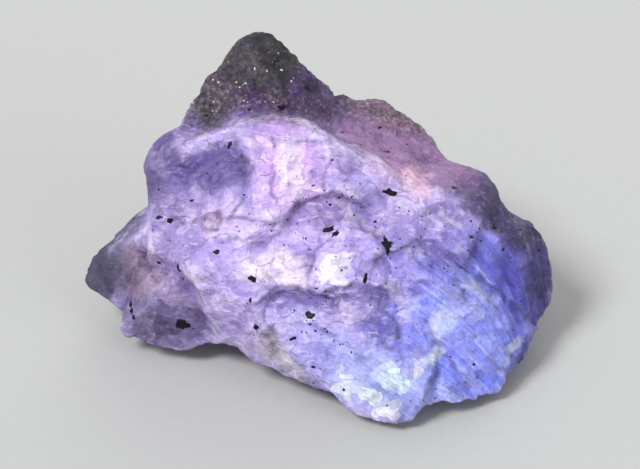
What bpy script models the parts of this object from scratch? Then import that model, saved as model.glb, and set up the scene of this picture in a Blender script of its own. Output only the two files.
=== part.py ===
"""A rough tanzanite: one broken, lumpy crystal with flat fracture faces, ledges, a peak and a side point.

The stone stands on a small flat spot. Its best side leans back, so the stone is laid out square on to that
side, in millimetres: right, up and near. Lumps with flat sides are fused into one body, which is then chipped,
stepped, grooved and hollowed in the way that a crystal breaks.
"""

import math
import random

import bmesh
import bpy
import numpy as np
from mathutils import Vector, kdtree, noise
from mathutils.bvhtree import BVHTree

MM = 0.001

# The best side leans back by this much from upright.
LEAN = math.radians(33.5)
RIGHT = np.array([1.0, 0.0, 0.0])
UP = np.array([0.0, math.sin(LEAN), math.cos(LEAN)])
NEAR = np.array([0.0, -math.cos(LEAN), math.sin(LEAN)])
FRONT = (RIGHT, UP, NEAR)
# The back is laid out in the same way, seen from behind and above.
BACK_SIDE = (-RIGHT, np.array([0.0, -UP[1], UP[2]]), np.array([0.0, -NEAR[1], NEAR[2]]))

GRAIN = 0.42  # spacing of the points that the stone is shaped with, mm
FINE_GRAIN = 0.26  # their spacing once it is shaped, which keeps the breaks crisp, mm
TRIANGLES = 9600
FOOT_X, FOOT_Y = 0.8, 1.4  # middle of the flat spot on the underside, mm
FOOT_LENGTH, FOOT_WIDTH = 6.6, 6.0  # its half sizes, mm
FOOT_RISE = 0.9  # how far the underside rises around it, mm
FOOT_CUT = 0.04  # thickness broken off to make the spot one flat face, mm
SLIVER = 0.01  # edges shorter than this are closed up, mm
FOOT_WANDER, FOOT_WANDER_SIZE = 0.12, 2.5  # how far its rim wanders, as a share of its size, and over which mm
FOOT_EDGE, FOOT_SLOPE = 1.1, 1.6  # shares of its half size where the flat spot ends and the rise is complete
FOOT_HIGH, FOOT_LOW = 2.0, 1.4  # the surface is flattened below these heights only, mm
SEED = 15

CHIP_RIM = 6.0  # how fast the wall around a chip steepens past its reach
OUTSIDE = 60.0  # a distance that is well outside the stone, mm
HACKLE_LOW, HACKLE_HIGH = -0.3, 0.25  # how far the small break faces lie below and above the surface, mm
HACKLE_WANDER = 0.25  # how far their edges wander, as a share of their size
SPIKE_LIMIT, SPIKE_ROUNDS = 0.13, 12  # how far a point may stand off its neighbours, mm, and how often it's worn

# Work on one side of the stone starts where the surface turns to it, and is full from the second value on.
TURNED_AWAY, TURNED_TO = 0.0, 0.35
# A ledge's edge wanders by LEDGE_WANDER mm over LEDGE_SIZE mm, and falls over twice LEDGE_RUN mm. Its lip is
# raised by a share LEDGE_LIP of the drop over LEDGE_LIP_WIDTH mm, and its ends fade over PATH_END mm.
LEDGE_WANDER, LEDGE_SIZE, LEDGE_RUN = 0.5, 1.6, 0.4
LEDGE_LIP, LEDGE_LIP_WIDTH, PATH_END = 0.2, 1.2, 1.5

# The growth lines fan out over the lower right: slant below level in degrees, at this many mm to the right,
# and how much steeper they get with each mm.
FAN_MIDDLE, FAN_SLANT, FAN_BEND = 15.5, 55.0, 5.75
FAN_LEAST, FAN_MOST = 34.0, 80.0
FAN_LEFT, FAN_TOP = (7.5, 11.0), (11.0, 8.0)  # where the lines start and are full, mm
FAN_WANDER, FAN_WANDER_SIZE = 0.35, 3.0  # how far the lines wander, over which size, mm

# The ribs of the prism side on the back: their middle, reach and slope, and how far they wander.
PRISM_RIGHT, PRISM_UP, PRISM_REACH, PRISM_SLOPE = -7.0, 3.0, 9.0, 0.25
PRISM_FADE = 0.7  # share of the reach at which the ribs start to fade
PRISM_WANDER, PRISM_WANDER_SIZE = 0.3, 4.0

STONE_COLOUR = (0.48, 0.36, 0.74, 1.0)
STONE_ROUGHNESS = 0.35


def face(right, up, near):
    """A place measured square on to the best side."""
    return right * RIGHT + up * UP + near * NEAR


def level(x, y, z):
    """A place measured along the row's own axes."""
    return np.array([x, y, z], float)


# Each lump is the smallest block with flat sides that holds its corners.
HEART = [
    face(-15.3, 12.2, 7.6),
    face(-15.7, 9.5, 7.6),
    face(-15.6, 6.8, 7.6),
    face(-12.6, 5.6, 10.0),
    face(-9.2, 0.0, 7.8),
    face(-4.4, -2.2, 8.6),
    face(-2.6, -4.3, 10.0),
    face(1.2, -5.9, 11.8),
    face(4.6, -7.2, 13.0),
    face(8.4, -6.9, 13.2),
    face(9.7, -5.4, 13.0),
    face(14.0, -4.6, 11.4),
    face(16.6, -3.8, 9.8),
    face(17.9, 1.0, 9.4),
    face(14.4, 4.4, 11.0),
    face(12.6, 11.6, 9.4),
    face(4.0, 16.9, 9.4),
    face(-2.0, 19.2, 9.6),
    face(-8.0, 19.1, 9.4),
    face(-13.0, 17.2, 8.4),
    face(-2.0, 12.0, 13.0),
    face(2.0, 5.0, 14.4),
    face(-7.0, 8.0, 12.2),
    level(-12.5, 8.0, 4.0),
    level(-12.0, 9.0, 14.0),
    level(-4.0, 14.5, 17.0),
    level(8.0, 13.5, 13.0),
    level(15.0, 8.0, 9.0),
    level(15.0, 7.0, 4.0),
    level(1.0, 15.5, 4.0),
    level(-6.5, -3.0, 0.0),
    level(4.0, -8.5, 0.0),
    level(8.5, -5.5, 0.0),
    level(8.5, 5.0, 0.0),
    level(2.5, 9.0, 0.0),
    level(-6.0, 6.0, 0.0),
]
PEAK = [
    face(-7.0, 27.9, 4.6),
    face(-5.8, 28.5, 4.0),
    face(-4.4, 28.1, 3.4),
    face(-3.6, 27.3, 3.0),
    face(-1.9, 25.5, 2.4),
    face(0.8, 22.9, 1.6),
    face(2.8, 20.4, 1.2),
    face(-9.8, 24.4, 5.0),
    face(-10.8, 22.7, 5.2),
    face(-12.2, 20.9, 5.6),
    face(-12.8, 19.2, 6.0),
    face(-8.0, 17.0, 9.0),
    face(0.0, 18.0, 8.4),
    face(4.0, 15.0, 7.4),
    face(-6.4, 22.0, 7.6),
    level(-11.5, 12.0, 10.0),
    level(-7.0, 15.5, 19.0),
    level(-2.0, 17.0, 14.0),
    level(4.0, 15.5, 12.0),
]
BACK_RIDGE = [
    face(0.8, 22.7, 0.8),
    face(2.3, 22.5, 0.2),
    face(4.8, 22.0, -1.0),
    face(6.2, 22.0, -1.2),
    face(7.5, 21.6, -1.0),
    face(9.2, 20.1, -0.4),
    face(10.9, 18.3, 0.4),
    face(11.0, 17.0, 1.2),
    face(-2.0, 18.2, 7.4),
    face(5.5, 17.2, 6.8),
    face(10.5, 13.0, 7.6),
    level(-1.0, 17.5, 11.0),
    level(7.5, 16.5, 9.0),
    level(11.0, 12.0, 7.0),
]
SHOULDER = [
    face(10.4, 17.4, 1.4),
    face(12.2, 16.4, 2.0),
    face(13.3, 15.9, 2.6),
    face(14.1, 15.8, 2.6),
    face(14.9, 15.3, 2.4),
    face(15.6, 14.3, 2.2),
    face(16.2, 13.0, 2.4),
    face(16.7, 11.4, 3.0),
    face(17.4, 10.4, 3.4),
    face(9.0, 14.0, 8.2),
    face(12.6, 11.5, 9.0),
    face(15.0, 9.6, 9.0),
    level(11.0, 14.0, 8.0),
    level(15.8, 9.5, 7.5),
    level(9.0, 12.0, 4.0),
]
RIGHT_LOBE = [
    face(17.0, 10.9, 3.6),
    face(18.6, 10.1, 3.4),
    face(19.9, 9.5, 3.0),
    face(20.9, 8.5, 2.6),
    face(21.3, 7.1, 2.4),
    face(21.3, 4.0, 3.0),
    face(21.5, 2.4, 3.4),
    face(20.9, 0.7, 4.6),
    face(20.3, -0.6, 5.6),
    face(18.9, -3.0, 7.2),
    face(17.5, -4.0, 8.2),
    face(12.8, 11.0, 9.4),
    face(17.4, 8.0, 8.0),
    face(20.3, 5.2, 6.0),
    face(13.8, 4.4, 10.6),
    face(18.6, 1.0, 8.2),
    face(16.6, -3.4, 9.4),
    level(17.5, 8.5, 8.0),
    level(18.0, 6.5, 3.0),
    level(12.0, 2.0, 1.2),
    level(9.0, 10.0, 3.0),
]
LOWER_WEDGE = [
    face(10.6, -6.4, 12.4),
    face(12.2, -6.6, 11.8),
    face(13.5, -6.5, 11.2),
    face(14.5, -5.9, 10.6),
    face(15.5, -5.8, 10.2),
    face(16.6, -5.6, 9.8),
    face(17.1, -4.8, 9.2),
    face(16.7, -3.8, 9.4),
    face(10.4, -3.5, 13.0),
    face(15.4, -2.6, 11.0),
    level(8.0, -6.0, 1.5),
    level(13.0, -3.0, 2.5),
]
TOE = [
    face(9.1, -6.8, 13.0),
    face(8.3, -8.1, 13.1),
    face(7.1, -8.3, 13.2),
    face(5.5, -8.0, 13.0),
    face(2.8, -6.6, 12.2),
    face(5.0, -4.4, 14.2),
    face(9.4, -4.4, 13.6),
    level(4.0, -9.0, 1.0),
    level(7.0, -8.0, 1.0),
]
LEFT_KNOB = [
    face(-15.6, 13.3, 6.8),
    face(-16.0, 14.2, 6.4),
    face(-16.4, 15.3, 6.2),
    face(-16.3, 16.2, 6.0),
    face(-15.8, 17.2, 5.8),
    face(-15.1, 18.1, 5.6),
    face(-14.1, 18.8, 5.8),
    face(-12.6, 19.4, 6.2),
    face(-14.8, 15.4, 8.8),
    face(-12.8, 17.6, 8.8),
    face(-11.0, 14.4, 10.4),
    face(-10.0, 17.0, 1.0),
    face(-12.6, 12.0, 1.0),
]
LEFT_POINT = [
    face(-22.2, 4.9, 0.8),
    face(-22.2, 5.6, 0.4),
    face(-21.6, 6.5, 0.0),
    face(-20.4, 7.0, -0.4),
    face(-19.1, 7.6, -0.8),
    face(-17.5, 8.6, -1.2),
    face(-16.0, 10.6, -1.0),
    face(-21.2, 3.9, 1.2),
    face(-20.6, 3.1, 1.8),
    face(-18.4, 1.9, 3.0),
    face(-18.0, 6.0, 4.2),
    face(-14.5, 10.5, 6.0),
    face(-12.0, 3.0, 6.6),
    level(-13.0, 10.0, 11.0),
    level(-13.5, 11.0, 7.5),
    level(-16.5, 5.5, 2.2),
    level(-10.0, 4.0, 1.0),
]
LEFT_FOOT = [
    face(-18.5, 1.9, 3.8),
    face(-18.2, 0.3, 4.2),
    face(-17.3, -0.9, 4.5),
    face(-16.2, -1.7, 4.8),
    face(-14.7, -2.0, 5.0),
    face(-13.1, -1.9, 5.1),
    face(-11.6, -1.4, 5.3),
    face(-9.8, -0.6, 5.6),
    face(-15.4, 2.4, 7.0),
    face(-12.4, 1.4, 7.6),
    face(-8.4, -0.6, 7.6),
    face(-16.2, 5.2, 6.0),
    face(-12.0, 6.0, 8.8),
    level(-15.0, 2.0, 1.6),
    level(-8.0, 0.0, 0.8),
]
LEFT_SIDE = [
    face(-15.4, 12.5, 6.8),
    face(-15.7, 13.6, 3.5),
    face(-15.6, 8.0, 6.4),
    face(-14.9, 16.4, 5.0),
    face(-12.9, 18.8, 5.0),
    level(-15.2, 8.0, 9.0),
    level(-14.5, 12.0, 9.0),
    level(-10.5, 14.5, 16.0),
    level(-9.0, 15.5, 10.0),
    level(-10.0, 5.0, 8.0),
]
BACK = [
    level(-14.5, 9.0, 6.0),
    level(-13.5, 11.5, 12.0),
    level(-9.0, 15.5, 8.5),
    level(-6.0, 16.5, 15.0),
    level(0.0, 17.6, 10.0),
    level(7.0, 16.5, 10.0),
    level(12.5, 13.5, 9.0),
    level(17.5, 9.0, 6.5),
    level(13.0, 8.0, 2.0),
    level(6.0, 14.0, 2.4),
    level(-5.0, 13.6, 2.4),
    level(-11.0, 8.0, 2.0),
    level(0.0, 0.0, 2.0),
    level(0.0, 6.0, 16.0),
]
LUMPS = (
    HEART,
    BACK,
    PEAK,
    BACK_RIDGE,
    SHOULDER,
    RIGHT_LOBE,
    LOWER_WEDGE,
    TOE,
    LEFT_KNOB,
    LEFT_POINT,
    LEFT_FOOT,
    LEFT_SIDE,
)

# Breaks on the best side: a path of (right, up) points, how far the ground on its left drops, and how far
# behind the break the ground takes to rise again, all in mm.
LEDGES = (
    # the arch where the bright side breaks away to the ridge behind it
    (
        [
            (-11.5, 18.6),
            (-8.8, 19.0),
            (-5.9, 20.0),
            (-3.7, 20.0),
            (-0.5, 19.2),
            (1.8, 17.7),
            (2.9, 16.5),
            (5.1, 16.2),
            (7.3, 13.8),
            (9.5, 13.0),
        ],
        1.3,
        5.0,
    ),
    # the lower left rim
    ([(-8.8, -1.0), (-9.7, 0.6), (-10.5, 2.1), (-11.5, 3.8), (-12.0, 5.2), (-13.6, 6.6), (-15.6, 7.4)], 1.2, 4.5),
    # the rim of the blue hollow
    ([(-7.4, 10.8), (-6.7, 13.4), (-6.8, 15.5), (-7.8, 16.8)], 0.5, 4.0),
    # the crest across the middle
    ([(4.5, 12.0), (1.9, 12.6), (-1.3, 12.5), (-2.5, 11.6), (-3.4, 10.5), (-4.4, 9.4), (-6.0, 8.2)], 0.65, 5.0),
    # the round shell below the crest
    ([(0.3, 7.2), (0.5, 8.8), (1.7, 9.5), (2.9, 10.0), (4.2, 9.5), (5.3, 8.6), (5.5, 7.4), (4.7, 6.3)], 0.35, 3.0),
    # the cleavage line to the right of the shell
    ([(12.0, 7.6), (10.4, 8.3), (8.8, 8.5), (6.7, 7.5), (5.5, 6.8), (4.2, 6.2)], 0.45, 4.5),
    # the recess under the middle
    (
        [
            (8.8, 4.6),
            (7.3, 4.4),
            (5.3, 4.2),
            (3.8, 4.2),
            (1.5, 3.6),
            (0.1, 4.1),
            (-2.5, 3.9),
            (-3.6, 4.3),
            (-4.6, 3.6),
            (-4.9, 2.6),
            (-4.6, 1.4),
        ],
        0.65,
        4.5,
    ),
    # the step between the bright lower side and the dark lobe
    ([(12.2, 5.8), (13.3, 4.6), (14.1, 4.0), (16.0, 2.2), (17.9, 1.0), (20.0, 0.7)], 1.1, 5.0),
    # the block above the toe
    ([(3.2, -7.4), (3.5, -5.5), (3.4, -3.9), (4.6, -2.6), (6.6, -2.2)], 0.55, 3.5),
    ([(10.6, -1.2), (9.6, -3.0), (9.9, -4.6), (9.5, -6.2)], 0.5, 3.0),
)

# Breaks on the back, in the same way.
BACK_LEDGES = (
    ([(-12.0, 1.8), (-9.0, 2.6), (-4.0, 2.0), (1.0, 4.0), (6.0, 5.6), (11.0, 5.0)], 1.0, 5.0),
    ([(-8.0, 6.6), (-4.0, 8.0), (0.0, 7.4), (3.0, 8.8)], 0.8, 3.0),
    ([(3.0, -3.4), (9.0, -1.4), (14.0, 1.0)], 0.7, 3.5),
)

# Cracks on the best side: a path, its depth and its width in mm.
GROOVES = (
    ([(0.7, 9.0), (0.0, 8.0), (-0.5, 7.0), (-0.9, 6.0)], 0.5, 0.45),
    ([(11.3, 6.8), (12.1, 5.6), (12.6, 4.5), (13.4, 3.0)], 0.5, 0.5),
    ([(9.7, -5.9), (10.1, -4.4), (10.4, -3.0)], 0.6, 0.45),
)


def clear_scene():
    for thing in list(bpy.data.objects):
        bpy.data.objects.remove(thing)


def add_object(name, mesh):
    thing = bpy.data.objects.new(name, mesh)
    bpy.context.scene.collection.objects.link(thing)
    return thing


def evaluated(thing):
    """The object's mesh with its modifiers applied; the object itself goes."""
    graph = bpy.context.evaluated_depsgraph_get()
    mesh = bpy.data.meshes.new_from_object(thing.evaluated_get(graph))
    bpy.data.objects.remove(thing)
    return mesh


def block(corners):
    """One lump as a mesh in metres."""
    shape = bmesh.new()
    points = [shape.verts.new(Vector(corner) * MM) for corner in corners]
    made = bmesh.ops.convex_hull(shape, input=points)
    inside = [item for item in made["geom_interior"] if isinstance(item, bmesh.types.BMVert)]
    bmesh.ops.delete(shape, geom=inside, context="VERTS")
    mesh = bpy.data.meshes.new("block")
    shape.to_mesh(mesh)
    shape.free()
    return mesh


def fused_lumps():
    """All lumps as one closed skin with evenly spaced points."""
    skin = block(LUMPS[0])
    for corners in LUMPS[1:]:
        body = add_object("body", skin)
        lump = add_object("lump", block(corners))
        join = body.modifiers.new("join", "BOOLEAN")
        join.operation = "UNION"
        join.object = lump
        skin = evaluated(body)
        bpy.data.objects.remove(lump)
    return evenly_meshed(skin, GRAIN, softening=4)


def evenly_meshed(skin, grain, softening):
    """The same closed skin with evenly spaced points and no folds."""
    body = add_object("body", skin)
    fuse = body.modifiers.new("fuse", "REMESH")
    fuse.mode = "VOXEL"
    fuse.voxel_size = grain * MM
    soften = body.modifiers.new("soften", "SMOOTH")
    soften.factor = 0.5
    soften.iterations = softening
    return evaluated(body)


def smooth_step(low, high, value):
    share = np.clip((value - low) / (high - low), 0.0, 1.0)
    return share * share * (3.0 - 2.0 * share)


def saw_tooth(phase):
    """A slow rise and a quick fall, from -0.5 to 0.5."""
    return np.where(phase < 0.8, phase / 0.8, (1.0 - phase) / 0.2) - 0.5


def path_distance(places, path):
    """Distance to a path, positive on its left, and a share that fades to 0 past its ends."""
    nearest = np.full(len(places), np.inf)
    side = np.zeros(len(places))
    along = np.zeros(len(places))
    last = len(path) - 2
    for index in range(len(path) - 1):
        start, run = path[index], path[index + 1] - path[index]
        offset = places - start
        raw = offset @ run / (run @ run)
        share = np.clip(raw, 0.0, 1.0)
        gap = np.linalg.norm(offset - share[:, None] * run, axis=1)
        turn = run[0] * offset[:, 1] - run[1] * offset[:, 0]
        past = np.zeros(len(places))
        if index == 0:
            past = np.maximum(past, -raw)
        if index == last:
            past = np.maximum(past, raw - 1.0)
        length = np.linalg.norm(run)
        closer = gap < nearest
        nearest = np.where(closer, gap, nearest)
        side = np.where(closer, np.sign(turn) * gap, side)
        along = np.where(closer, np.clip(1.0 - past * length / PATH_END, 0.0, 1.0), along)
    return side, along


class Sculpt:
    """The skin's points in millimetres, with the tools that shape them."""

    def __init__(self, skin):
        self.skin = skin
        flat = np.empty(len(skin.vertices) * 3)
        skin.vertices.foreach_get("co", flat)
        self.points = flat.reshape(-1, 3) / MM

    def store(self):
        self.skin.vertices.foreach_set("co", (self.points * MM).ravel())
        self.skin.update()

    def normals(self):
        self.store()
        flat = np.empty(len(self.skin.vertices) * 3)
        self.skin.vertex_normals.foreach_get("vector", flat)
        return flat.reshape(-1, 3)

    def tree(self):
        corners = [tuple(side.vertices) for side in self.skin.polygons]
        return BVHTree.FromPolygons([Vector(p) for p in self.points], corners)

    def noise(self, size, seed):
        offset = Vector((seed, seed * 2.0, seed * 3.0))
        return np.array([noise.noise(Vector(p) / size + offset) for p in self.points])

    def swell(self, height, size, seed):
        """Raises and lowers the surface in soft lumps of about this size."""
        self.points += self.normals() * (self.noise(size, seed) * height)[:, None]

    def chip(self, spot, out, reach, bite):
        """Breaks the surface off flat, bite deep at its highest point within reach of a spot."""
        offset = self.points - spot
        above = offset @ out
        across = np.linalg.norm(offset - above[:, None] * out, axis=1)
        close = (across < reach) & (above > -reach)
        if not close.any():
            return
        break_face = above[close].max() - bite + CHIP_RIM * np.maximum(across - reach, 0.0) ** 2 / reach
        self.points -= out * np.maximum(above - break_face, 0.0)[:, None]

    def scatter_chips(self, count, reach, bite, tilt, seed):
        """Breaks flat faces all over the surface."""
        chance = random.Random(seed)
        tree = self.tree()
        middle = Vector(self.points.mean(axis=0))
        for _ in range(count):
            heading = Vector([chance.gauss(0.0, 1.0) for _ in range(3)]).normalized()
            hit, out, _, _ = tree.ray_cast(middle + heading * OUTSIDE, -heading)
            lean = Vector([chance.gauss(0.0, tilt) for _ in range(3)])
            size = chance.uniform(*reach)
            depth = chance.uniform(*bite)
            if hit is not None:
                self.chip(np.array(hit), np.array((out + lean).normalized()), size, depth)

    def hackle(self, size, slope, step, seed):
        """Splits the surface into flat patches, each with its own small tilt and height."""
        chance = random.Random(seed)
        area = sum(side.area for side in self.skin.polygons) / MM**2
        count = int(area / size**2)
        picks = [chance.randrange(len(self.points)) for _ in range(count)]
        seeds = kdtree.KDTree(count)
        tilts = []
        for index, pick in enumerate(picks):
            seeds.insert(Vector(self.points[pick]), index)
            tilts.append([chance.gauss(0.0, slope) for _ in range(3)] + [chance.gauss(0.0, step)])
        seeds.balance()
        wander = np.stack([self.noise(size, seed + k) for k in range(3)], axis=1) * size * HACKLE_WANDER
        lift = np.zeros(len(self.points))
        for index, point in enumerate(self.points):
            centre, owner, _ = seeds.find(Vector(point + wander[index]))
            tilt = tilts[owner]
            offset = point - np.array(centre)
            lift[index] = offset @ np.array(tilt[:3]) + tilt[3]
        self.points += self.normals() * np.clip(lift, HACKLE_LOW, HACKLE_HIGH)[:, None]

    def wear_spikes(self):
        """Wears thin spikes and fins back to the surface around them."""
        ends = np.empty(len(self.skin.edges) * 2, int)
        self.skin.edges.foreach_get("vertices", ends)
        ends = np.concatenate([ends.reshape(-1, 2), ends.reshape(-1, 2)[:, ::-1]])
        count = np.bincount(ends[:, 0], minlength=len(self.points))[:, None]
        for _ in range(SPIKE_ROUNDS):
            total = np.zeros_like(self.points)
            np.add.at(total, ends[:, 0], self.points[ends[:, 1]])
            gap = self.points - total / count
            length = np.linalg.norm(gap, axis=1, keepdims=True)
            self.points -= gap * np.clip(1.0 - SPIKE_LIMIT / np.maximum(length, SPIKE_LIMIT), 0.0, 1.0)

    def seen(self, view):
        """Right, up and near for each point, and how squarely its surface faces that way."""
        return self.points @ np.stack(view, axis=1), self.normals() @ view[2]

    def ledge(self, path, drop, width, view=FRONT):
        """Steps one side down on the left of a path; the ground rises again over width."""
        place, facing = self.seen(view)
        side, along = path_distance(place[:, :2], np.array(path, float))
        fade = np.exp(-((side / width) ** 2)) * along * smooth_step(TURNED_AWAY, TURNED_TO, facing)
        side = side + LEDGE_WANDER * self.noise(LEDGE_SIZE, 31.0)
        low = smooth_step(-LEDGE_RUN, LEDGE_RUN, side)
        lip = (1.0 - low) * np.exp(-((side / LEDGE_LIP_WIDTH) ** 2))
        self.points += view[2] * ((LEDGE_LIP * lip - low) * drop * fade)[:, None]

    def groove(self, path, depth, width):
        """Cuts a narrow crack along a path on the best side."""
        place, facing = self.seen(FRONT)
        side, along = path_distance(place[:, :2], np.array(path, float))
        cut = depth * np.exp(-((side / width) ** 2)) * along * smooth_step(TURNED_AWAY, TURNED_TO, facing)
        self.points -= NEAR * cut[:, None]

    def mound(self, right, up, radius, height):
        """Raises or sinks a round patch of the best side."""
        place, facing = self.seen(FRONT)
        across = np.hypot(place[:, 0] - right, place[:, 1] - up) / radius
        lift = height * np.clip(1.0 - across**2, 0.0, 1.0) * smooth_step(TURNED_AWAY, TURNED_TO, facing)
        self.points += NEAR * lift[:, None]

    def growth_lines(self, spacing, height):
        """Fine steps that fan down the lower right of the best side, steeper towards the right."""
        place, facing = self.seen(FRONT)
        right, up = place[:, 0], place[:, 1]
        slant = np.radians(np.clip(FAN_SLANT + FAN_BEND * (right - FAN_MIDDLE), FAN_LEAST, FAN_MOST))
        # Each line falls by tan(slant) for each mm to the right, so this sum stays the same along it.
        fall = -np.log(np.cos(slant)) / math.radians(FAN_BEND)
        straight = FAN_MIDDLE - (FAN_SLANT - FAN_LEAST) / FAN_BEND
        fall = fall + math.tan(math.radians(FAN_LEAST)) * np.minimum(right - straight, 0.0)
        phase = ((up + fall + FAN_WANDER * self.noise(FAN_WANDER_SIZE, 23.0)) / spacing) % 1.0
        where = smooth_step(*FAN_LEFT, right) * smooth_step(*FAN_TOP, up)
        where = where * smooth_step(TURNED_AWAY, TURNED_TO, facing)
        self.points += NEAR * (height * saw_tooth(phase) * where)[:, None]

    def prism_lines(self, spacing, height):
        """Straight, level ribs on the back, as on the side of a crystal prism."""
        place, facing = self.seen(BACK_SIDE)
        right, up = place[:, 0], place[:, 1]
        wander = PRISM_WANDER * self.noise(PRISM_WANDER_SIZE, 29.0)
        phase = ((up - PRISM_SLOPE * right + wander) / spacing) % 1.0
        across = np.hypot((right - PRISM_RIGHT) / PRISM_REACH, (up - PRISM_UP) / PRISM_REACH)
        where = smooth_step(1.0, PRISM_FADE, across) * smooth_step(TURNED_AWAY, TURNED_TO, facing)
        self.points += BACK_SIDE[2] * (height * saw_tooth(phase) * where)[:, None]

    def level_foot(self):
        """Brings the underside to one plane where the stone broke off flat, and lifts what is around it."""
        x, y, z = self.points.T
        across = np.hypot((x - FOOT_X) / FOOT_LENGTH, (y - FOOT_Y) / FOOT_WIDTH)
        across = across + FOOT_WANDER * self.noise(FOOT_WANDER_SIZE, 41.0)
        floor = FOOT_RISE * smooth_step(1.0, FOOT_SLOPE, across)
        share = smooth_step(FOOT_EDGE, 1.0, across) * smooth_step(FOOT_HIGH, FOOT_LOW, z)
        self.points[:, 2] = np.maximum(z * (1.0 - share), floor)


def shape_stone(skin):
    stone = Sculpt(skin)
    stone.swell(height=0.8, size=7.0, seed=3.0)
    stone.scatter_chips(count=190, reach=(2.0, 5.5), bite=(0.15, 0.6), tilt=0.2, seed=SEED)
    stone.mound(right=-8.9, up=14.4, radius=3.6, height=-0.9)
    stone.mound(right=-1.5, up=1.6, radius=3.6, height=-0.7)
    stone.mound(right=3.0, up=7.6, radius=3.0, height=0.5)
    for path, drop, width in LEDGES:
        stone.ledge(path, drop, width)
    for path, drop, width in BACK_LEDGES:
        stone.ledge(path, drop, width, BACK_SIDE)
    for path, depth, width in GROOVES:
        stone.groove(path, depth, width)
    stone.growth_lines(spacing=2.2, height=0.26)
    stone.prism_lines(spacing=1.9, height=0.3)
    stone.hackle(size=3.0, slope=0.08, step=0.07, seed=SEED + 1)
    stone.scatter_chips(count=420, reach=(0.9, 2.4), bite=(0.05, 0.22), tilt=0.2, seed=SEED + 2)
    stone.store()


def shape_foot(skin):
    stone = Sculpt(skin)
    stone.wear_spikes()
    stone.level_foot()
    stone.store()


def thinned(skin):
    """The skin with fewer triangles, kept where the shape needs them."""
    full = add_object("full", skin)
    split = full.modifiers.new("split", "TRIANGULATE")
    split.quad_method = "SHORTEST_DIAGONAL"
    thin = full.modifiers.new("thin", "DECIMATE")
    thin.ratio = TRIANGLES / (2.0 * len(skin.polygons))
    return evaluated(full)


def stand_on_foot(mesh):
    """Breaks the underside off flat, then puts the origin under the middle of the stone."""
    shape = bmesh.new()
    shape.from_mesh(mesh)
    bottom = min(vert.co.z for vert in shape.verts) + FOOT_CUT * MM
    cut = bmesh.ops.bisect_plane(
        shape,
        geom=shape.verts[:] + shape.edges[:] + shape.faces[:],
        plane_co=(0.0, 0.0, bottom),
        plane_no=(0.0, 0.0, -1.0),
        clear_outer=True,
    )
    rim = [item for item in cut["geom_cut"] if isinstance(item, bmesh.types.BMEdge)]
    bmesh.ops.holes_fill(shape, edges=rim, sides=0)
    bmesh.ops.dissolve_degenerate(shape, edges=shape.edges[:], dist=SLIVER * MM)
    low = Vector([min(vert.co[i] for vert in shape.verts) for i in range(3)])
    high = Vector([max(vert.co[i] for vert in shape.verts) for i in range(3)])
    middle = Vector(((low.x + high.x) / 2, (low.y + high.y) / 2, low.z))
    bmesh.ops.translate(shape, verts=shape.verts[:], vec=-middle)
    shape.to_mesh(mesh)
    shape.free()
    print("face origin at", [round(-c / MM, 3) for c in middle], "mm")
    return -middle


def stone_material():
    material = bpy.data.materials.new("tanzanite")
    material.use_nodes = True
    surface = material.node_tree.nodes["Principled BSDF"]
    surface.inputs["Base Color"].default_value = STONE_COLOUR
    surface.inputs["Roughness"].default_value = STONE_ROUGHNESS
    surface.inputs["Metallic"].default_value = 0.0
    return material


def main():
    clear_scene()
    skin = fused_lumps()
    shape_stone(skin)
    skin = evenly_meshed(skin, FINE_GRAIN, softening=1)
    shape_foot(skin)
    mesh = thinned(skin)
    face_origin = stand_on_foot(mesh)
    mesh.materials.clear()
    mesh.materials.append(stone_material())
    add_object("tanzanite_crystal", mesh)
    return face_origin


if __name__ == "__main__":
    main()
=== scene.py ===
import math
import random
from functools import partial

import bmesh
import bpy
import numpy as np
from mathutils import Matrix, Vector, kdtree, noise
from mathutils.bvhtree import BVHTree


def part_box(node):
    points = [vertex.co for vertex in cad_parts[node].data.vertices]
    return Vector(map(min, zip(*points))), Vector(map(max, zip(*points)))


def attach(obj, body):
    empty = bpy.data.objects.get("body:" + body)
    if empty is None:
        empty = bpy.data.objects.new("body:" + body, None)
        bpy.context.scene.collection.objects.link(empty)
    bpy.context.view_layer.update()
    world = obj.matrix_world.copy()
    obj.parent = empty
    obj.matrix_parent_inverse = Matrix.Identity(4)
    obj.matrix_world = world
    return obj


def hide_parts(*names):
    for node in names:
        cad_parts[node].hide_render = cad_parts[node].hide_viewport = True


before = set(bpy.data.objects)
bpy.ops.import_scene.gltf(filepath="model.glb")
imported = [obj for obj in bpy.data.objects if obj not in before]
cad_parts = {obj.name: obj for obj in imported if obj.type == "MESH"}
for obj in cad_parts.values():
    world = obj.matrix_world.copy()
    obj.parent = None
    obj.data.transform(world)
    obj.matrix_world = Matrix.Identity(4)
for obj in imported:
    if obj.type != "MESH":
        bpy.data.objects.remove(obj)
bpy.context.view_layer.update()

# The looks of a rough tanzanite. Lengths are in millimetres unless they say otherwise.
MM = 0.001
SEED = 7

# The best side leans back from upright. Places on it are measured square on to it: right, up and near.
LEAN = math.radians(33.5)
RIGHT = np.array([1.0, 0.0, 0.0])
UP = np.array([0.0, math.sin(LEAN), math.cos(LEAN)])
NEAR = np.array([0.0, -math.cos(LEAN), math.sin(LEAN)])
FACE_ORIGIN = np.array([0.219, -0.904, -0.039])
OUTSIDE = 60.0  # well outside the stone

GRAIN = 0.22  # spacing of the skin's points, which carry the fine relief
SOFTENING = 1  # rounds of smoothing before the relief
FOOT_HEIGHT = 0.12  # below this height the skin is the flat spot, and stays as it is
EDGE_ROUNDS, DEEP_ROUNDS = 10, 70  # rounds of smoothing, to tell edges and broad hollows
# The values that the skin carries for the material.
STORED = ("edge", "deep", "crease", "rim", "growth", "along_growth", "fan")

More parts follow.
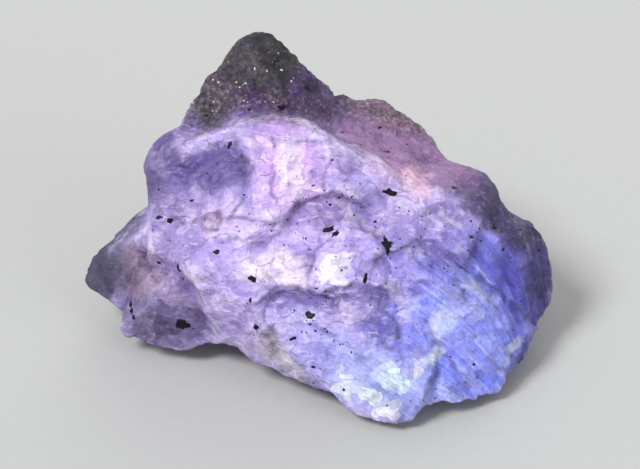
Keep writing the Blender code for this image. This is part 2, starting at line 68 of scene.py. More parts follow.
# Chips: how many, from which to which reach, and how deep they bite.
BACK_CHIPS = (420, (1.7, 3.4), (0.16, 0.4))
LARGE_CHIPS = (1100, (0.9, 2.1), (0.08, 0.2))
SMALL_CHIPS = (3600, (0.45, 1.0), (0.03, 0.1))
CRUMB_CHIPS = (2200, (0.35, 0.7), (0.03, 0.1))
CHIP_RIM = 6.0  # how fast the wall around a chip steepens past its reach
CHIP_WALL = 1.4  # how far that wall goes, in reaches
CHIP_TILT = 0.25  # how far a chip leans from the skin around it
CHIP_LEAST = 4  # the fewest points in a chip

# Curved ribs of shell-shaped breaks: where each break began, its inner and outer radius, and the spacing, height
# and seed of its ribs.
FRONT_RIBS = (
    ((-2.5, 9.5), (7.0, 10.8), 0.85, 0.16, 11.0),
    ((3.0, 6.0), (1.2, 4.2), 0.62, 0.1, 12.0),
    ((-13.0, 13.0), (2.0, 6.0), 0.8, 0.1, 13.0),
    ((6.0, -9.0), (2.5, 7.5), 0.9, 0.12, 14.0),
    ((-8.0, 2.0), (3.0, 7.0), 0.8, 0.1, 15.0),
)
BACK_RIBS = (
    ((4.0, 12.0), (2.0, 9.0), 1.1, 0.2, 16.0),
    ((-9.0, 2.0), (1.5, 7.0), 0.9, 0.18, 17.0),
    ((12.0, 0.0), (2.0, 8.0), 1.0, 0.18, 18.0),
)
RIB_WANDER, RIB_WANDER_SIZE = 0.5, 2.6  # how far ribs wander, in spacings, and over which distance
RIB_FADE = 1.0  # over which distance they fade at both radii
RIB_FACING = (0.2, 0.5)  # how far the skin turns to their side where they start and where they are full
RIB_PATCH, RIB_PATCH_EDGE = 3.4, (-0.15, 0.15)  # they come in patches of this size

# The growth lines fan out over the lower right, as in the CAD solid: slant below level in degrees at FAN_MIDDLE
# to the right, and how much steeper they get with each millimetre.
FAN_MIDDLE, FAN_SLANT, FAN_BEND = 15.5, 55.0, 5.75
FAN_LEAST, FAN_MOST = 34.0, 80.0
FAN_CROWDED, FAN_SPREAD = 10.5, 0.65  # past this growth height the lines are spread out by this share
FAN_LEFT, FAN_WIDENING, FAN_FOOT = 7.0, 5.5, (0.5, -2.5)  # its left edge, which moves out at the foot
FAN_FADE, FAN_TOP = 3.5, (11.5, 8.0)  # it fades in from the left and from the top
FAN_FACING = (0.05, 0.4)
FAN_PATCH, FAN_PATCH_EDGE = 4.0, (-0.7, -0.2)
LOBE_CALM, LOBE_RIGHT, LOBE_UP = 0.75, (15.5, 18.5), (0.0, 3.0)  # it is fainter on the lobe
GROWTH_STEP, GROWTH_HEIGHT = 0.95, 0.12  # spacing and height of the growth lines
GROWTH_WANDER, GROWTH_WANDER_SIZE = 0.3, 2.5
GROWTH_FAINT, GROWTH_PATCH, GROWTH_PATCH_EDGE = 0.45, 2.2, (-0.35, 0.35)  # they are fainter in patches

# Lines that stand out on the best side: name, half width, step and path. A crease is a thin dark line, its
# darkness partly the crack's own colour and partly painted shade in the groove, and the stone to the left of its
# path stands higher by the step. A rim is a thin pale edge that stands out, its paleness painted glow of light
# through the edge.
CREASES = (
    ("crest", 0.11, 0.32,
     ((-3.4, 9.8), (-2.8, 10.7), (-2, 11.7), (-0.5, 12.4), (1.4, 12.7), (2.6, 12.3), (3.7, 11.6))),
    ("window", 0.09, -0.22,
     ((-0.2, 8.6), (0.4, 9.6), (2, 10.2), (3.7, 9.8), (4.9, 8.7), (5.3, 7.5), (4.8, 6.6))),
    ("fleck", 0.10, 0.16, ((0.9, 9.3), (-0.2, 7.8), (-0.8, 6.6), (-1.1, 4.8))),
    ("recess", 0.11, 0.34,
     ((-5.2, 3.3), (-4.1, 4.1), (-2, 4.4), (-0.1, 3.7), (1.4, 4.4), (3.9, 4.7), (5.7, 4.1))),
    ("hollow", 0.12, 0.26, ((-8.3, 10.4), (-6.8, 11.9), (-6.6, 13.2), (-6.9, 15.3), (-7.6, 17.2))),
    ("heart left", 0.08, -0.16, ((-4.2, 17.6), (-4, 15.7), (-4.4, 13), (-3.7, 11.8))),
    ("heart right", 0.08, 0.14, ((0.7, 17.6), (0.6, 16.6), (0.9, 15.6), (0.2, 14.2), (0.5, 13))),
    ("heart top", 0.07, 0.10, ((-3.9, 17.5), (-2.2, 17.3), (-0.4, 17.5), (1.2, 17.1))),
    ("shelf", 0.07, 0.18, ((-8.6, 10.6), (-6.4, 10.4), (-4.4, 10), (-3.2, 10.2))),
    ("shelf foot", 0.07, 0.14, ((-8.2, 8.9), (-6, 8.6), (-4, 8.9), (-2.6, 9.4))),
    ("right crack", 0.12, 0.10, ((11, 6.6), (11.5, 5.9), (12, 5), (12.6, 4.1), (13, 3.1))),
    ("lobe", 0.13, 0.26, ((10.7, 8.3), (12.7, 6.6), (14.7, 5), (16.5, 3.6), (18.2, 2.2), (19.4, 1))),
    ("block edge", 0.10, -0.32, ((20.2, 1), (19.2, -0.3), (18.5, -1.4), (17.7, -2.4), (16.9, -3.4))),
    ("block gap", 0.08, -0.18, ((16, -1), (16.9, -1.6), (17.7, -2.3))),
    ("low block gap", 0.08, -0.16, ((15, -2.1), (15.9, -2.7), (16.8, -3.4))),
    ("high block gap", 0.08, -0.12, ((17, 0.6), (18, 0.1), (19, -0.5))),
    ("lobe top", 0.12, -0.14, ((15.2, 10.6), (14.4, 9.6), (13.8, 8.2), (13.4, 7))),
    ("middle", 0.10, 0.18, ((5.3, 7.1), (6.7, 7.7), (7.8, 8.1), (9.1, 8.6), (10.3, 8.2))),
    ("fan", 0.12, 0.18, ((9.3, 1.6), (10, 0.1), (11, -1.4), (12.1, -2.8), (13.4, -4.3))),
    ("toe", 0.07, 0.08, ((9.2, -5.3), (9.6, -4.2), (10.3, -3), (10.4, -1.8))),
    ("foot", 0.12, -0.22, ((-14.6, 3.2), (-13.4, 2.2), (-12.2, 2.4), (-11.2, 1.2))),
    ("pebble", 0.08, -0.12,
     ((-10.4, 10.4), (-9.9, 11.1), (-9.2, 11.1), (-8.8, 10.3), (-9.4, 9.5), (-10.2, 9.6))),
    ("left step", 0.08, 0.18, ((-14.6, 9.9), (-12.9, 10.6), (-11.4, 10.2))),
    ("lower step", 0.08, 0.2, ((-2.6, 1.2), (-0.6, 1), (1.2, 0.2), (2.6, -0.9))),
    ("low shell", 0.08, -0.16, ((3.4, 2.6), (5.2, 2.4), (6.6, 1.4), (7, -0.2))),
)
RIMS = (
    ("arch", 0.13,
     ((-7.8, 19.1), (-4.1, 19.7), (-1.1, 19.1), (0.9, 17.9), (2.4, 16.5), (5.4, 15.6), (7.4, 14.1))),
    ("left", 0.11, ((-11.8, 6.5), (-11.4, 5.2), (-10.6, 3.4), (-9.9, 2), (-9.2, 0.4))),
    ("edge", 0.08, ((-15.1, 11.6), (-15.5, 9.6), (-15.4, 8), (-14.8, 6.6))),
    ("crest streak", 0.12, ((2.6, 11.1), (3.3, 10.6), (4, 9.9))),
    ("streak", 0.12, ((10.8, 11), (11.7, 10.4), (12.6, 9.6))),
    ("upper streak", 0.10, ((8.6, 12), (10, 10.8), (11.2, 9.4))),
    ("fan head", 0.12, ((12.7, 4.5), (13.8, 4.4), (14.8, 4))),
)
RIM_HEIGHT = 0.07
STEP_RUN, STEP_REACH = 0.25, 1.3  # how far from a crease its step is full, and where it has faded out
LINE_CORE = 0.3  # share of its half width over which a line is full
LINE_WANDER, LINE_WANDER_SIZE = 0.3, 0.9  # how far lines stray from their paths
LINE_GAPS, LINE_GAP_EDGE = 1.8, (-0.45, 0.1)  # they have gaps of this size
LINE_FACING = (0.05, 0.35)


def face(right, up, near):
    """A place on the best side, in the row frame."""
    return FACE_ORIGIN + right * RIGHT + up * UP + near * NEAR


def metres(place):
    return Vector(place) * MM


def linear(hex_colour):
    """An sRGB hex colour as linear red, green, blue and alpha."""
    parts = [int(hex_colour[i : i + 2], 16) / 255.0 for i in (1, 3, 5)]
    return tuple(c / 12.92 if c <= 0.04045 else ((c + 0.055) / 1.055) ** 2.4 for c in parts) + (1.0,)


def feed(node, inputs):
    """Sets inputs of a node, in order or by name: each to a value, an output, or the first output of a node."""
    for name, value in inputs.items() if isinstance(inputs, dict) else enumerate(inputs):
        if isinstance(value, bpy.types.Node):
            value = value.outputs[0]
        if isinstance(value, bpy.types.NodeSocket):
            node.id_data.links.new(value, node.inputs[name])
        else:
            node.inputs[name].default_value = value


def add_node(tree, kind, inputs=(), operation=None, **settings):
    """Adds a shader node with its inputs, its operation if it has one, and its other settings."""
    node = tree.nodes.new("ShaderNode" + kind)
    if operation:
        node.operation = operation
    for name, value in settings.items():
        setattr(node, name, value)
    feed(node, inputs)
    return node


def new_material(name):
    """A new material with its node tree and its surface shader."""
    material = bpy.data.materials.new(name)
    material.use_nodes = True
    return material, material.node_tree, material.node_tree.nodes["Principled BSDF"]


def add_object(name, data):
    thing = bpy.data.objects.new(name, data)
    bpy.context.scene.collection.objects.link(thing)
    return thing


def smooth_step(low, high, value):
    share = np.clip((value - low) / (high - low), 0.0, 1.0)
    return share * share * (3.0 - 2.0 * share)


def saw_tooth(phase):
    """A slow rise and a quick fall, from -0.5 to 0.5."""
    phase = phase % 1.0
    return np.where(phase < 0.8, phase / 0.8, (1.0 - phase) / 0.2) - 0.5


class Skin:
    """The fine skin of the stone, in millimetres, and the tools that shape it."""

    def __init__(self, mesh):
        self.mesh = mesh
        flat = np.empty(len(mesh.vertices) * 3)
        mesh.vertices.foreach_get("co", flat)
        self.points = flat.reshape(-1, 3) / MM
        ends = np.empty(len(mesh.edges) * 2, int)
        mesh.edges.foreach_get("vertices", ends)
        ends = ends.reshape(-1, 2)
        self.ends = np.concatenate([ends, ends[:, ::-1]])
        self.count = np.bincount(self.ends[:, 0], minlength=len(self.points))[:, None]

    def store(self):
        self.mesh.vertices.foreach_set("co", (self.points * MM).ravel())
        self.mesh.update()

    def normals(self):
        self.store()
        flat = np.empty(len(self.points) * 3)
        self.mesh.vertex_normals.foreach_get("vector", flat)
        return flat.reshape(-1, 3)

    def noise(self, size, seed):
        offset = Vector((seed, seed * 2.0, seed * 3.0))
        return np.array([noise.noise(Vector(p) / size + offset) for p in self.points])

    def averaged(self, values, rounds):
        """Each point's value shared with its neighbours."""
        for _ in range(rounds):
            sums = [np.bincount(self.ends[:, 0], column[self.ends[:, 1]], len(values)) for column in values.T]
            values = np.stack(sums, axis=1) / self.count
        return values

    def face_place(self):
        """Right, up and near on the best side for each point."""
        return (self.points - FACE_ORIGIN) @ np.stack((RIGHT, UP, NEAR), axis=1)

    def around(self, place, reach):
        """A share that falls from 1 to 0 towards the reach around a place in the face frame."""
        across = np.linalg.norm((self.face_place() - np.array(place)) / np.array(reach), axis=1)
        return smooth_step(1.0, 0.6, across)

    def chips(self, count, reach, bite, seed, where=None):
        """Breaks small flat faces off the skin, most where the share is high."""
        chance = random.Random(seed)
        normals = self.normals()
        tree = kdtree.KDTree(len(self.points))
        for index, point in enumerate(self.points):
            tree.insert(Vector(point), index)
        tree.balance()
        for _ in range(count):
            pick = chance.randrange(len(self.points))
            lean = np.array([chance.gauss(0.0, CHIP_TILT) for _ in range(3)])
            size, depth = chance.uniform(*reach), chance.uniform(*bite)
            if where is not None and chance.random() > where[pick]:
                continue
            out = normals[pick] + lean
            out /= np.linalg.norm(out)
            spot = self.points[pick]
            close = np.array([item[1] for item in tree.find_range(Vector(spot), size * CHIP_WALL)], int)
            if len(close) < CHIP_LEAST:
                continue
            offset = self.points[close] - spot
            above = offset @ out
            across = np.linalg.norm(offset - above[:, None] * out, axis=1)
            if not (across < size).any():
                continue
            plane = above[across < size].max() - depth
            break_face = plane + CHIP_RIM * np.maximum(across - size, 0.0) ** 2 / size
            self.points[close] -= out * np.maximum(above - break_face, 0.0)[:, None]

    def crumble(self, size, height, seed, where=1.0):
        """Rough crumbs on top of the skin, with finer ones of half their size and height."""
        rough = self.noise(size, seed) + 0.5 * self.noise(size * 0.5, seed + 1.0)
        self.points += self.normals() * (rough * height * where)[:, None]

    def ribs(self, focus, radii, spacing, height, seed, toward=NEAR):
        """Curved ribs around the spot where a shell-shaped break began, on the side that faces this way."""
        place = self.face_place()
        across = np.hypot(place[:, 0] - focus[0], place[:, 1] - focus[1])
        facing = self.normals() @ toward
        wander = RIB_WANDER * self.noise(RIB_WANDER_SIZE, seed)
        inner, outer = radii
        band = smooth_step(inner, inner + RIB_FADE, across) * smooth_step(outer, outer - RIB_FADE, across)
        patches = smooth_step(*RIB_PATCH_EDGE, self.noise(RIB_PATCH, seed + 5.0))
        where = band * smooth_step(*RIB_FACING, facing) * patches
        self.points += toward * (height * saw_tooth(across / spacing + wander) * where)[:, None]

    def path_gap(self, path, stray):
        """How far each point is from a path on the best side: positive to the left of it."""
        places = self.face_place()[:, :2] + stray
        gap = np.full(len(places), np.inf)
        for start, end in zip(path, path[1:]):
            start, run = np.array(start), np.subtract(end, start)
            along = np.clip((places - start) @ run / (run @ run), 0.0, 1.0)
            offset = places - start - along[:, None] * run
            side = np.where(run[0] * offset[:, 1] - run[1] * offset[:, 0] < 0.0, -1.0, 1.0)
            distance = np.linalg.norm(offset, axis=1)
            gap = np.where(distance < np.abs(gap), side * distance, gap)
        return gap

    def add_value(self, name, values):
        """Stores a value at each point for the material to read."""
        layer = self.mesh.attributes.new(name, "FLOAT", "POINT")
        layer.data.foreach_set("value", values.astype(np.float32))


def fine_skin():
    """The CAD solid's skin, meshed finely and evenly."""
    body = add_object("skin_work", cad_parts["tanzanite_crystal"].data.copy())
    fuse = body.modifiers.new("fuse", "REMESH")
    fuse.mode = "VOXEL"
    fuse.voxel_size = GRAIN * MM
    fuse.use_smooth_shade = True
    soften = body.modifiers.new("soften", "SMOOTH")
    soften.factor = 0.5
    soften.iterations = SOFTENING
    graph = bpy.context.evaluated_depsgraph_get()
    mesh = bpy.data.meshes.new_from_object(body.evaluated_get(graph))
    bpy.data.objects.remove(body)
    return mesh


def growth_height(right, up):
    """The same value all along each growth line, in millimetres."""
    slant = np.radians(np.clip(FAN_SLANT + FAN_BEND * (right - FAN_MIDDLE), FAN_LEAST, FAN_MOST))
    fall = -np.log(np.cos(slant)) / math.radians(FAN_BEND)
    first = FAN_MIDDLE - (FAN_SLANT - FAN_LEAST) / FAN_BEND
    last = FAN_MIDDLE + (FAN_MOST - FAN_SLANT) / FAN_BEND
    before = math.tan(math.radians(FAN_LEAST)) * np.minimum(right - first, 0.0)
    after = math.tan(math.radians(FAN_MOST)) * np.maximum(right - last, 0.0)
    height = up + fall + before + after
    # The lines crowd where they are steep, so they are spread out there.
    return height - FAN_SPREAD * np.maximum(height - FAN_CROWDED, 0.0)


def growth_length(right, up):
    """A value that rises along the growth lines, in millimetres."""
    slant = math.radians(FAN_SLANT)
    return right * math.cos(slant) - up * math.sin(slant)


def break_surface(skin):
    """Soft lumps and shell-shaped breaks, and rougher ones with large chips at the back."""
    skin.crumble(size=1.9, height=0.12, seed=2.0)
    for shell in FRONT_RIBS:
        skin.ribs(*shell)
    behind = smooth_step(0.15, -0.35, skin.normals() @ NEAR)
    skin.crumble(size=3.4, height=0.34, seed=5.0, where=behind)
    for shell in BACK_RIBS:
        skin.ribs(*shell, toward=-NEAR)
    skin.chips(*BACK_CHIPS, seed=SEED + 3, where=behind)


def grow_fan(skin):
    """Raises the growth lines, and gives how strongly the fan shows at each point."""
    right, up, _ = skin.face_place().T
    facing = skin.normals() @ NEAR
    lines = growth_height(right, up) + GROWTH_WANDER * skin.noise(GROWTH_WANDER_SIZE, 23.0)
    left = FAN_LEFT - FAN_WIDENING * smooth_step(*FAN_FOOT, up)
    fan = smooth_step(left, left + FAN_FADE, right) * smooth_step(*FAN_TOP, up)
    fan = fan * smooth_step(*FAN_FACING, facing) * smooth_step(*FAN_PATCH_EDGE, skin.noise(FAN_PATCH, 24.0))
    fan = fan * (1.0 - LOBE_CALM * smooth_step(*LOBE_RIGHT, right) * smooth_step(*LOBE_UP, up))
    patches = smooth_step(*GROWTH_PATCH_EDGE, skin.noise(GROWTH_PATCH, 25.0))
    uneven = GROWTH_FAINT + (1.0 - GROWTH_FAINT) * patches
    skin.points += NEAR * (GROWTH_HEIGHT * saw_tooth(lines / GROWTH_STEP) * fan * uneven)[:, None]
    return fan


def chip_surface(skin, crumbly):
    """Chips all over, and more of them with crumbs on the crumbly parts."""
    skin.chips(*LARGE_CHIPS, seed=SEED)
    skin.chips(*SMALL_CHIPS, seed=SEED + 1)
    skin.crumble(size=0.8, height=0.1, seed=4.0, where=crumbly)
    skin.chips(*CRUMB_CHIPS, seed=SEED + 2, where=crumbly)


def draw_lines(skin):
    """Cuts the creases and raises the rims, and gives how strongly they show at each point."""
    stray = np.stack([skin.noise(LINE_WANDER_SIZE, seed) for seed in (31.0, 32.0)], axis=1) * LINE_WANDER
    seen = smooth_step(*LINE_FACING, skin.normals() @ NEAR)
    fading = smooth_step(*LINE_GAP_EDGE, skin.noise(LINE_GAPS, 33.0))
    crease, rim = np.zeros(len(skin.points)), np.zeros(len(skin.points))

    def line(gap, half_width):
        return smooth_step(half_width + GRAIN, LINE_CORE * half_width, gap) * seen * fading

    for _, half_width, step, path in CREASES:
        side = skin.path_gap(path, stray)
        gap = np.abs(side)
        rise = np.sign(side) * smooth_step(0.0, STEP_RUN, gap) * smooth_step(STEP_REACH, STEP_RUN, gap)
        skin.points += NEAR * (0.5 * step * rise * seen)[:, None]
        crease = np.maximum(crease, line(gap, half_width))
    for _, half_width, path in RIMS:
        rim = np.maximum(rim, line(np.abs(skin.path_gap(path, stray)), half_width))
    skin.points += NEAR * (RIM_HEIGHT * rim)[:, None]
    return crease, rim


def weathered_skin():
    """The fine skin with all its breaks, and the values that the material reads from it."""
    skin = Skin(fine_skin())
    start = skin.points.copy()
    peak = skin.around((-6.5, 24.0, 2.0), (8.5, 7.5, 12.0))
    ridge = skin.around((6.0, 20.0, 0.0), (8.0, 5.0, 7.0))
    break_surface(skin)
    fan = grow_fan(skin)
    chip_surface(skin, np.maximum(peak, 0.6 * ridge))
    crease, rim = draw_lines(skin)
    # The flat spot that the stone stands on stays flat, and nothing leaves the CAD solid's box.
    low, high = (np.array(corner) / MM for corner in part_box("tanzanite_crystal"))
    foot = start[:, 2] < FOOT_HEIGHT
    skin.points[foot] = start[foot]
    skin.points = np.clip(skin.points, low, high)
    # Edges stand out from the skin just around them, and high ground from the skin further around. The material
    # paints highlights on the edges and shade in the hollows from these.
    soft = skin.averaged(skin.points, EDGE_ROUNDS)
    edge = np.sum((skin.points - soft) * skin.normals(), axis=1, keepdims=True)
    soft = skin.averaged(soft, DEEP_ROUNDS)
    deep = np.sum((skin.points - soft) * skin.normals(), axis=1, keepdims=True)
    right, up, _ = skin.face_place().T
    edge, deep = skin.averaged(edge, 1).ravel(), skin.averaged(deep, 2).ravel()
    values = (edge, deep, crease, rim, growth_height(right, up), growth_length(right, up), fan)
    for name, value in zip(STORED, values):
        skin.add_value(name, value)
    skin.store()
    return skin


# Colour zones of the stone, some with painted glow and painted shade as marked: place of the middle and half
# sizes in the face frame (right, up, near), turn in degrees, softness of the edge, strength and colour. Later
# zones lie over earlier ones.
ZONES = (
    # name, middle, half sizes, turn, softness, strength, colour
    ("violet depth at the back", (0, 8, -6), (20, 14, 9), 0, 0.5, 0.5, "#8E7CC4"),
    ("periwinkle lower right", (14.5, 0.5, 8), (9.5, 8.5, 11), -30, 0.35, 0.95, "#7C89FF"),
    ("bright growth band", (12.4, 2.6, 11), (2, 6.5, 6), 35, 0.6, 0.6, "#9AA6FE"),
    ("blue middle right", (9.5, 6.6, 9.5), (5.5, 2.6, 6), -10, 0.4, 0.65, "#625ABA"),
    ("lilac upper right", (8.9, 9.9, 9), (5, 2.6, 5), -20, 0.4, 0.65, "#A590D2"),
    ("violet lobe", (18.5, 6, 5), (3.5, 5, 7), 0, 0.45, 0.85, "#4538A6"),
    ("violet joint", (13.6, 8, 8.5), (1, 1.3, 2.5), -20, 0.6, 0.6, "#4A3F96"),
    ("dusky lobe edge", (20.8, 4.6, 3), (2.2, 6.8, 7), 8, 0.5, 0.95, "#260A5E"),
    ("dark lobe top", (17.4, 10.2, 4), (4.2, 2, 5), -30, 0.4, 0.9, "#1D1442"),
    ("purple shoulder", (14.6, 12.8, 3.5), (4, 4.2, 6), -25, 0.35, 0.92, "#2E2057"),
    ("mauve ridge", (7.5, 17.2, 3), (7.8, 4.4, 7), -25, 0.35, 0.92, "#8C648F"),
    ("brown ridge top", (5, 20.9, 0), (7, 1.7, 4), -14, 0.5, 0.85, "#5C4B54"),
    ("brown mauve slope", (6.6, 14.6, 7), (2.4, 2, 4), -40, 0.5, 0.6, "#BB84B8"),
    ("peach window", (8.9, 14.3, 7.5), (1.7, 1.4, 3), 40, 0.5, 0.85, "#F2C3DD"),
    # The dusky peak and its dark flank are partly the stone's smoky colour and partly painted shade, dark where
    # light from below did not reach the peak.
    ("dusky peak", (-6, 25, 1), (8.4, 6, 12), 0, 0.28, 0.97, "#242022"),
    ("mauve peak foot", (-3.5, 20.6, 5), (7.5, 1.9, 6), -8, 0.5, 0.8, "#422250"),
    ("olive peak foot", (-10.6, 20.4, 5), (3.2, 2.2, 6), 20, 0.4, 0.88, "#473E4B"),
    ("dark peak flank", (-2.6, 24.4, 2), (2.4, 4.8, 6), 35, 0.45, 0.95, "#08060D"),
    ("purple under the flank", (-0.3, 22.2, 3), (3, 1.8, 6), -38, 0.4, 0.85, "#3B2852"),
    ("purple knob", (-14.8, 15.3, 6), (3, 4.2, 6), 10, 0.35, 0.85, "#412973"),
    ("violet hollow", (-9.9, 14.8, 9), (4, 2.3, 4), 0, 0.4, 0.85, "#492F88"),
    ("lilac left face", (-12.2, 8.4, 8), (3.6, 5, 6), 0, 0.4, 0.6, "#9078B5"),
    # Painted glow: the pale heart, the pale shelf and the white windows are partly the stone's milky colour and
    # partly painted light shining up through the stone.
    ("pale heart", (-2.6, 14.9, 11), (3, 4.8, 6), 12, 0.5, 0.9, "#DDAFF8"),
    ("pale shelf", (-5.6, 9.9, 11), (4.4, 1.7, 5), -8, 0.5, 0.85, "#F2D8FF"),
    ("pale middle", (-1, 6.5, 12), (9, 3.4, 6), -8, 0.5, 0.6, "#C2ACFC"),
    ("white window left", (-3.7, 6, 12), (3.4, 1.6, 5), -6, 0.5, 0.95, "#FCE9FB"),
    ("white window right", (1.4, 6.1, 13), (1.2, 1.5, 5), -20, 0.25, 0.95, "#FFF7FF"),
    # Painted shade under the overhanging crest.
    ("painted shade under the crest", (0.4, 11, 11), (3.4, 1.2, 3), 10, 0.5, 0.75, "#866BAF"),
    # Painted shade along the recess.
    ("painted shade in the recess", (1.6, 3.6, 12.5), (6, 0.9, 4), 2, 0.6, 0.8, "#514695"),
    ("violet patch", (5, 0.6, 12.5), (2, 1.7, 3), -30, 0.5, 0.8, "#504BA9"),
    ("frosty lower side", (1.5, -1.8, 12), (6, 2.6, 6), -30, 0.5, 0.7, "#ABAAFA"),
    ("icy toe", (6.2, -4.6, 12.5), (5, 2.6, 6), -20, 0.6, 0.8, "#B2C4FF"),
    ("periwinkle toe end", (9.2, -6.6, 12), (4, 1.5, 5), -20, 0.5, 0.7, "#8A90E4"),
    # Painted glow, as for the pale heart: partly milky colour, partly painted light shining through the stone.
    ("heart window", (-2.5, 15, 11.5), (1.1, 2.9, 4), 4, 0.3, 0.78, "#FFEBFA"),
    ("toe facet high", (6.5, -3.8, 13.5), (1.5, 0.9, 2), -35, 0.2, 0.95, "#E2F8FF"),
    ("toe facet left", (4.3, -5, 13.5), (0.9, 0.67, 2), -35, 0.2, 0.95, "#F7FFFF"),
    ("toe facet low", (6, -6.5, 13), (1.01, 0.67, 2), -20, 0.25, 0.95, "#FFFFFF"),
    ("toe facet near", (2.2, -3.3, 13.5), (1.01, 0.5, 2), -35, 0.2, 0.95, "#D4DAF7"),
    ("low facet", (2.1, -4.6, 13), (0.78, 0.56, 2), -35, 0.2, 0.95, "#EEF4FA"),
    ("fan facet", (8.9, -2.8, 12.5), (0.62, 0.3, 2), -30, 0.2, 0.95, "#FFFCF4"),
    ("fan patch low", (10, -1.6, 12), (0.6, 1.1, 2), -42, 0.35, 0.85, "#EAF4FF"),
    ("fan patch high", (10.9, 1.2, 11.5), (0.85, 1.5, 2), -42, 0.4, 0.62, "#E4EEFF"),
    ("fan head patch", (14.4, 3.9, 9.5), (1.7, 0.5, 2.5), -42, 0.4, 0.55, "#CDD9FF"),
    ("right block", (17.5, -1, 7.5), (0.45, 1, 2), -52, 0.25, 0.9, "#DDE8FF"),
    ("right block low", (16.5, -2.6, 7.5), (0.4, 0.6, 2), -52, 0.25, 0.9, "#D5E2FF"),
    ("right wall", (20, -2, 5), (1.6, 3, 4), -35, 0.3, 0.85, "#3A338F"),
    ("bright streak", (11.7, 10.2, 8.5), (1.2, 0.3, 2), -38, 0.3, 0.8, "#BEA4EC"),
    ("sandy underside", (-3.4, -2.2, 10.5), (3.4, 1, 3), -38, 0.6, 0.75, "#C0BAB1"),
    ("tan grain", (-4.6, -0.2, 11.3), (0.85, 1.25, 1.5), -20, 0.15, 0.92, "#79677F"),
    ("rosy pebble", (-9.6, 10.3, 10.5), (1.1, 1, 2.5), 0, 0.3, 0.9, "#875F92"),
    ("sandy left", (-16.2, 5.6, 4), (2.6, 2.8, 5), -30, 0.5, 0.85, "#826B7E"),
    ("smoky side back", (-18.2, 9.6, -2.5), (3.6, 3, 5.5), 35, 0.4, 0.92, "#35334C"),
    # The smoky side point is partly the stone's smoky colour and partly painted shade, dark where light from
    # below did not reach the tip.
    ("smoky side point", (-20.8, 5.4, -2), (4.4, 3.8, 9), -35, 0.4, 0.95, "#26253C"),
    ("mauve left foot", (-14.4, 0.9, 4.5), (4.6, 2.9, 6), 0, 0.35, 0.85, "#564775"),
    ("sandy band", (-13.6, 4, 6), (3.4, 1, 4), -38, 0.5, 0.75, "#9C85A4"),
    ("brown foot stain", (-14.9, 0.6, 6), (1.6, 1.6, 3), 0, 0.6, 0.5, "#473859"),
    ("green stain", (-10.4, 19.8, 5.4), (0.9, 0.7, 1.6), -10, 0.4, 0.75, "#2A2E2F"),
    ("smoky back", (-6, 20, -6), (10, 6, 6), 20, 0.5, 0.7, "#5B5365"),
    ("violet back", (8, 9, -10), (8, 6, 7), 10, 0.4, 0.8, "#5A4BA6"),
    ("milky back", (1, 3, -12), (5, 3, 5), -20, 0.5, 0.6, "#BFB2E4"),
    ("brown back", (-8, 5, -9), (5, 3.4, 6), 25, 0.5, 0.7, "#6A5A72"),
    ("blue back edge", (17, 0, -4), (5, 5, 6), -20, 0.5, 0.7, "#6B74D6"),
    ("tan joint behind", (-12, 11, -6), (3, 3, 5), 0, 0.5, 0.6, "#8C7F96"),
)
# Flat bright break faces: facets keep to the small plates, and blocks lie along the growth lines with straight
# edges.
FACETS = (
    "heart window", "white window right", "toe facet high", "toe facet left", "toe facet low", "toe facet near",
    "low facet", "fan facet",
)
BLOCKS = ("fan patch low", "fan patch high", "fan head patch", "right block", "right block low")
GRAINS = ("tan grain", "rosy pebble", "green stain")  # small grains with a clear outline
CRUSTY = ("dusky peak", "brown ridge top", "olive peak foot")  # grey and brown crumbly crust
# Clearer zones with fewer veils and fibres.
CALM = (
    "violet lobe", "purple knob", "violet hollow", "mauve left foot", "violet back", "violet depth at the back",
)
# Duller, fuzzy zones.
WAXY = ("purple shoulder", "mauve ridge", "mauve peak foot", "dark lobe top", "brown back", "sandy left")

BODY_COLOUR = "#B9A6E2"  # the stone where no zone lies
DEPTH_COLOUR, DEPTH_DENSITY = "#C6B6F0", 60.0  # what light picks up inside the stone, per metre
ZONE_WANDER, PLATE_WANDER, WANDER_SIZE = 4.6, 1.6, 3.0  # zones and plates stray by up to half of this
BROAD_PLATE, BROAD_LEAN = 2.1, 0.36  # size and lean of the broad break plates
SMALL_PLATE, SMALL_LEAN = 0.72, 0.3
PLATE_RIB, PLATE_RIB_HEIGHT = 0.4, 0.008  # curved ribs on the broad plates
INNER_SIZE, FINE_SIZE = 2.2, 0.42  # lumps of the clouds inside, and of the mottling
FIBRE_SIZE = (3.2, 0.34, 0.34)  # cleavage fibres, nearly level
STREAK_SIZE, BLOCK_SIZE = (0.36, 6.0), (1.4, 4.5)  # across and along the growth lines
# Spacing of the painted glints, pale spots that stand for highlights in the crust.
PAINTED_GLINT_SIZE = 0.34

SMOOTH = {"interpolation_type": "SMOOTHSTEP"}
HALF = (0.5, 0.5, 0.5)

# How the tone, the milkiness and the roughness change from plate to plate, on the broad and the small plates.
PLATE_TONES = ((0.91, 1.0), (-0.06, 0.1))
PLATE_MILK = ((-0.08, 0.08), (-0.04, 0.04))
PLATE_GLOSS = (0.34, 0.56)
FINE_TONES = (0.3, 0.7, -0.1, 0.08)
DULLER = 0.2  # how much rougher the dusky and the waxy parts are
CLEARNESS = 0.25  # how much light goes through the clear parts
MILKY_CALM, MILKY_FAN = 0.85, 0.6  # how much of the milkiness the calm zones and the fan take away

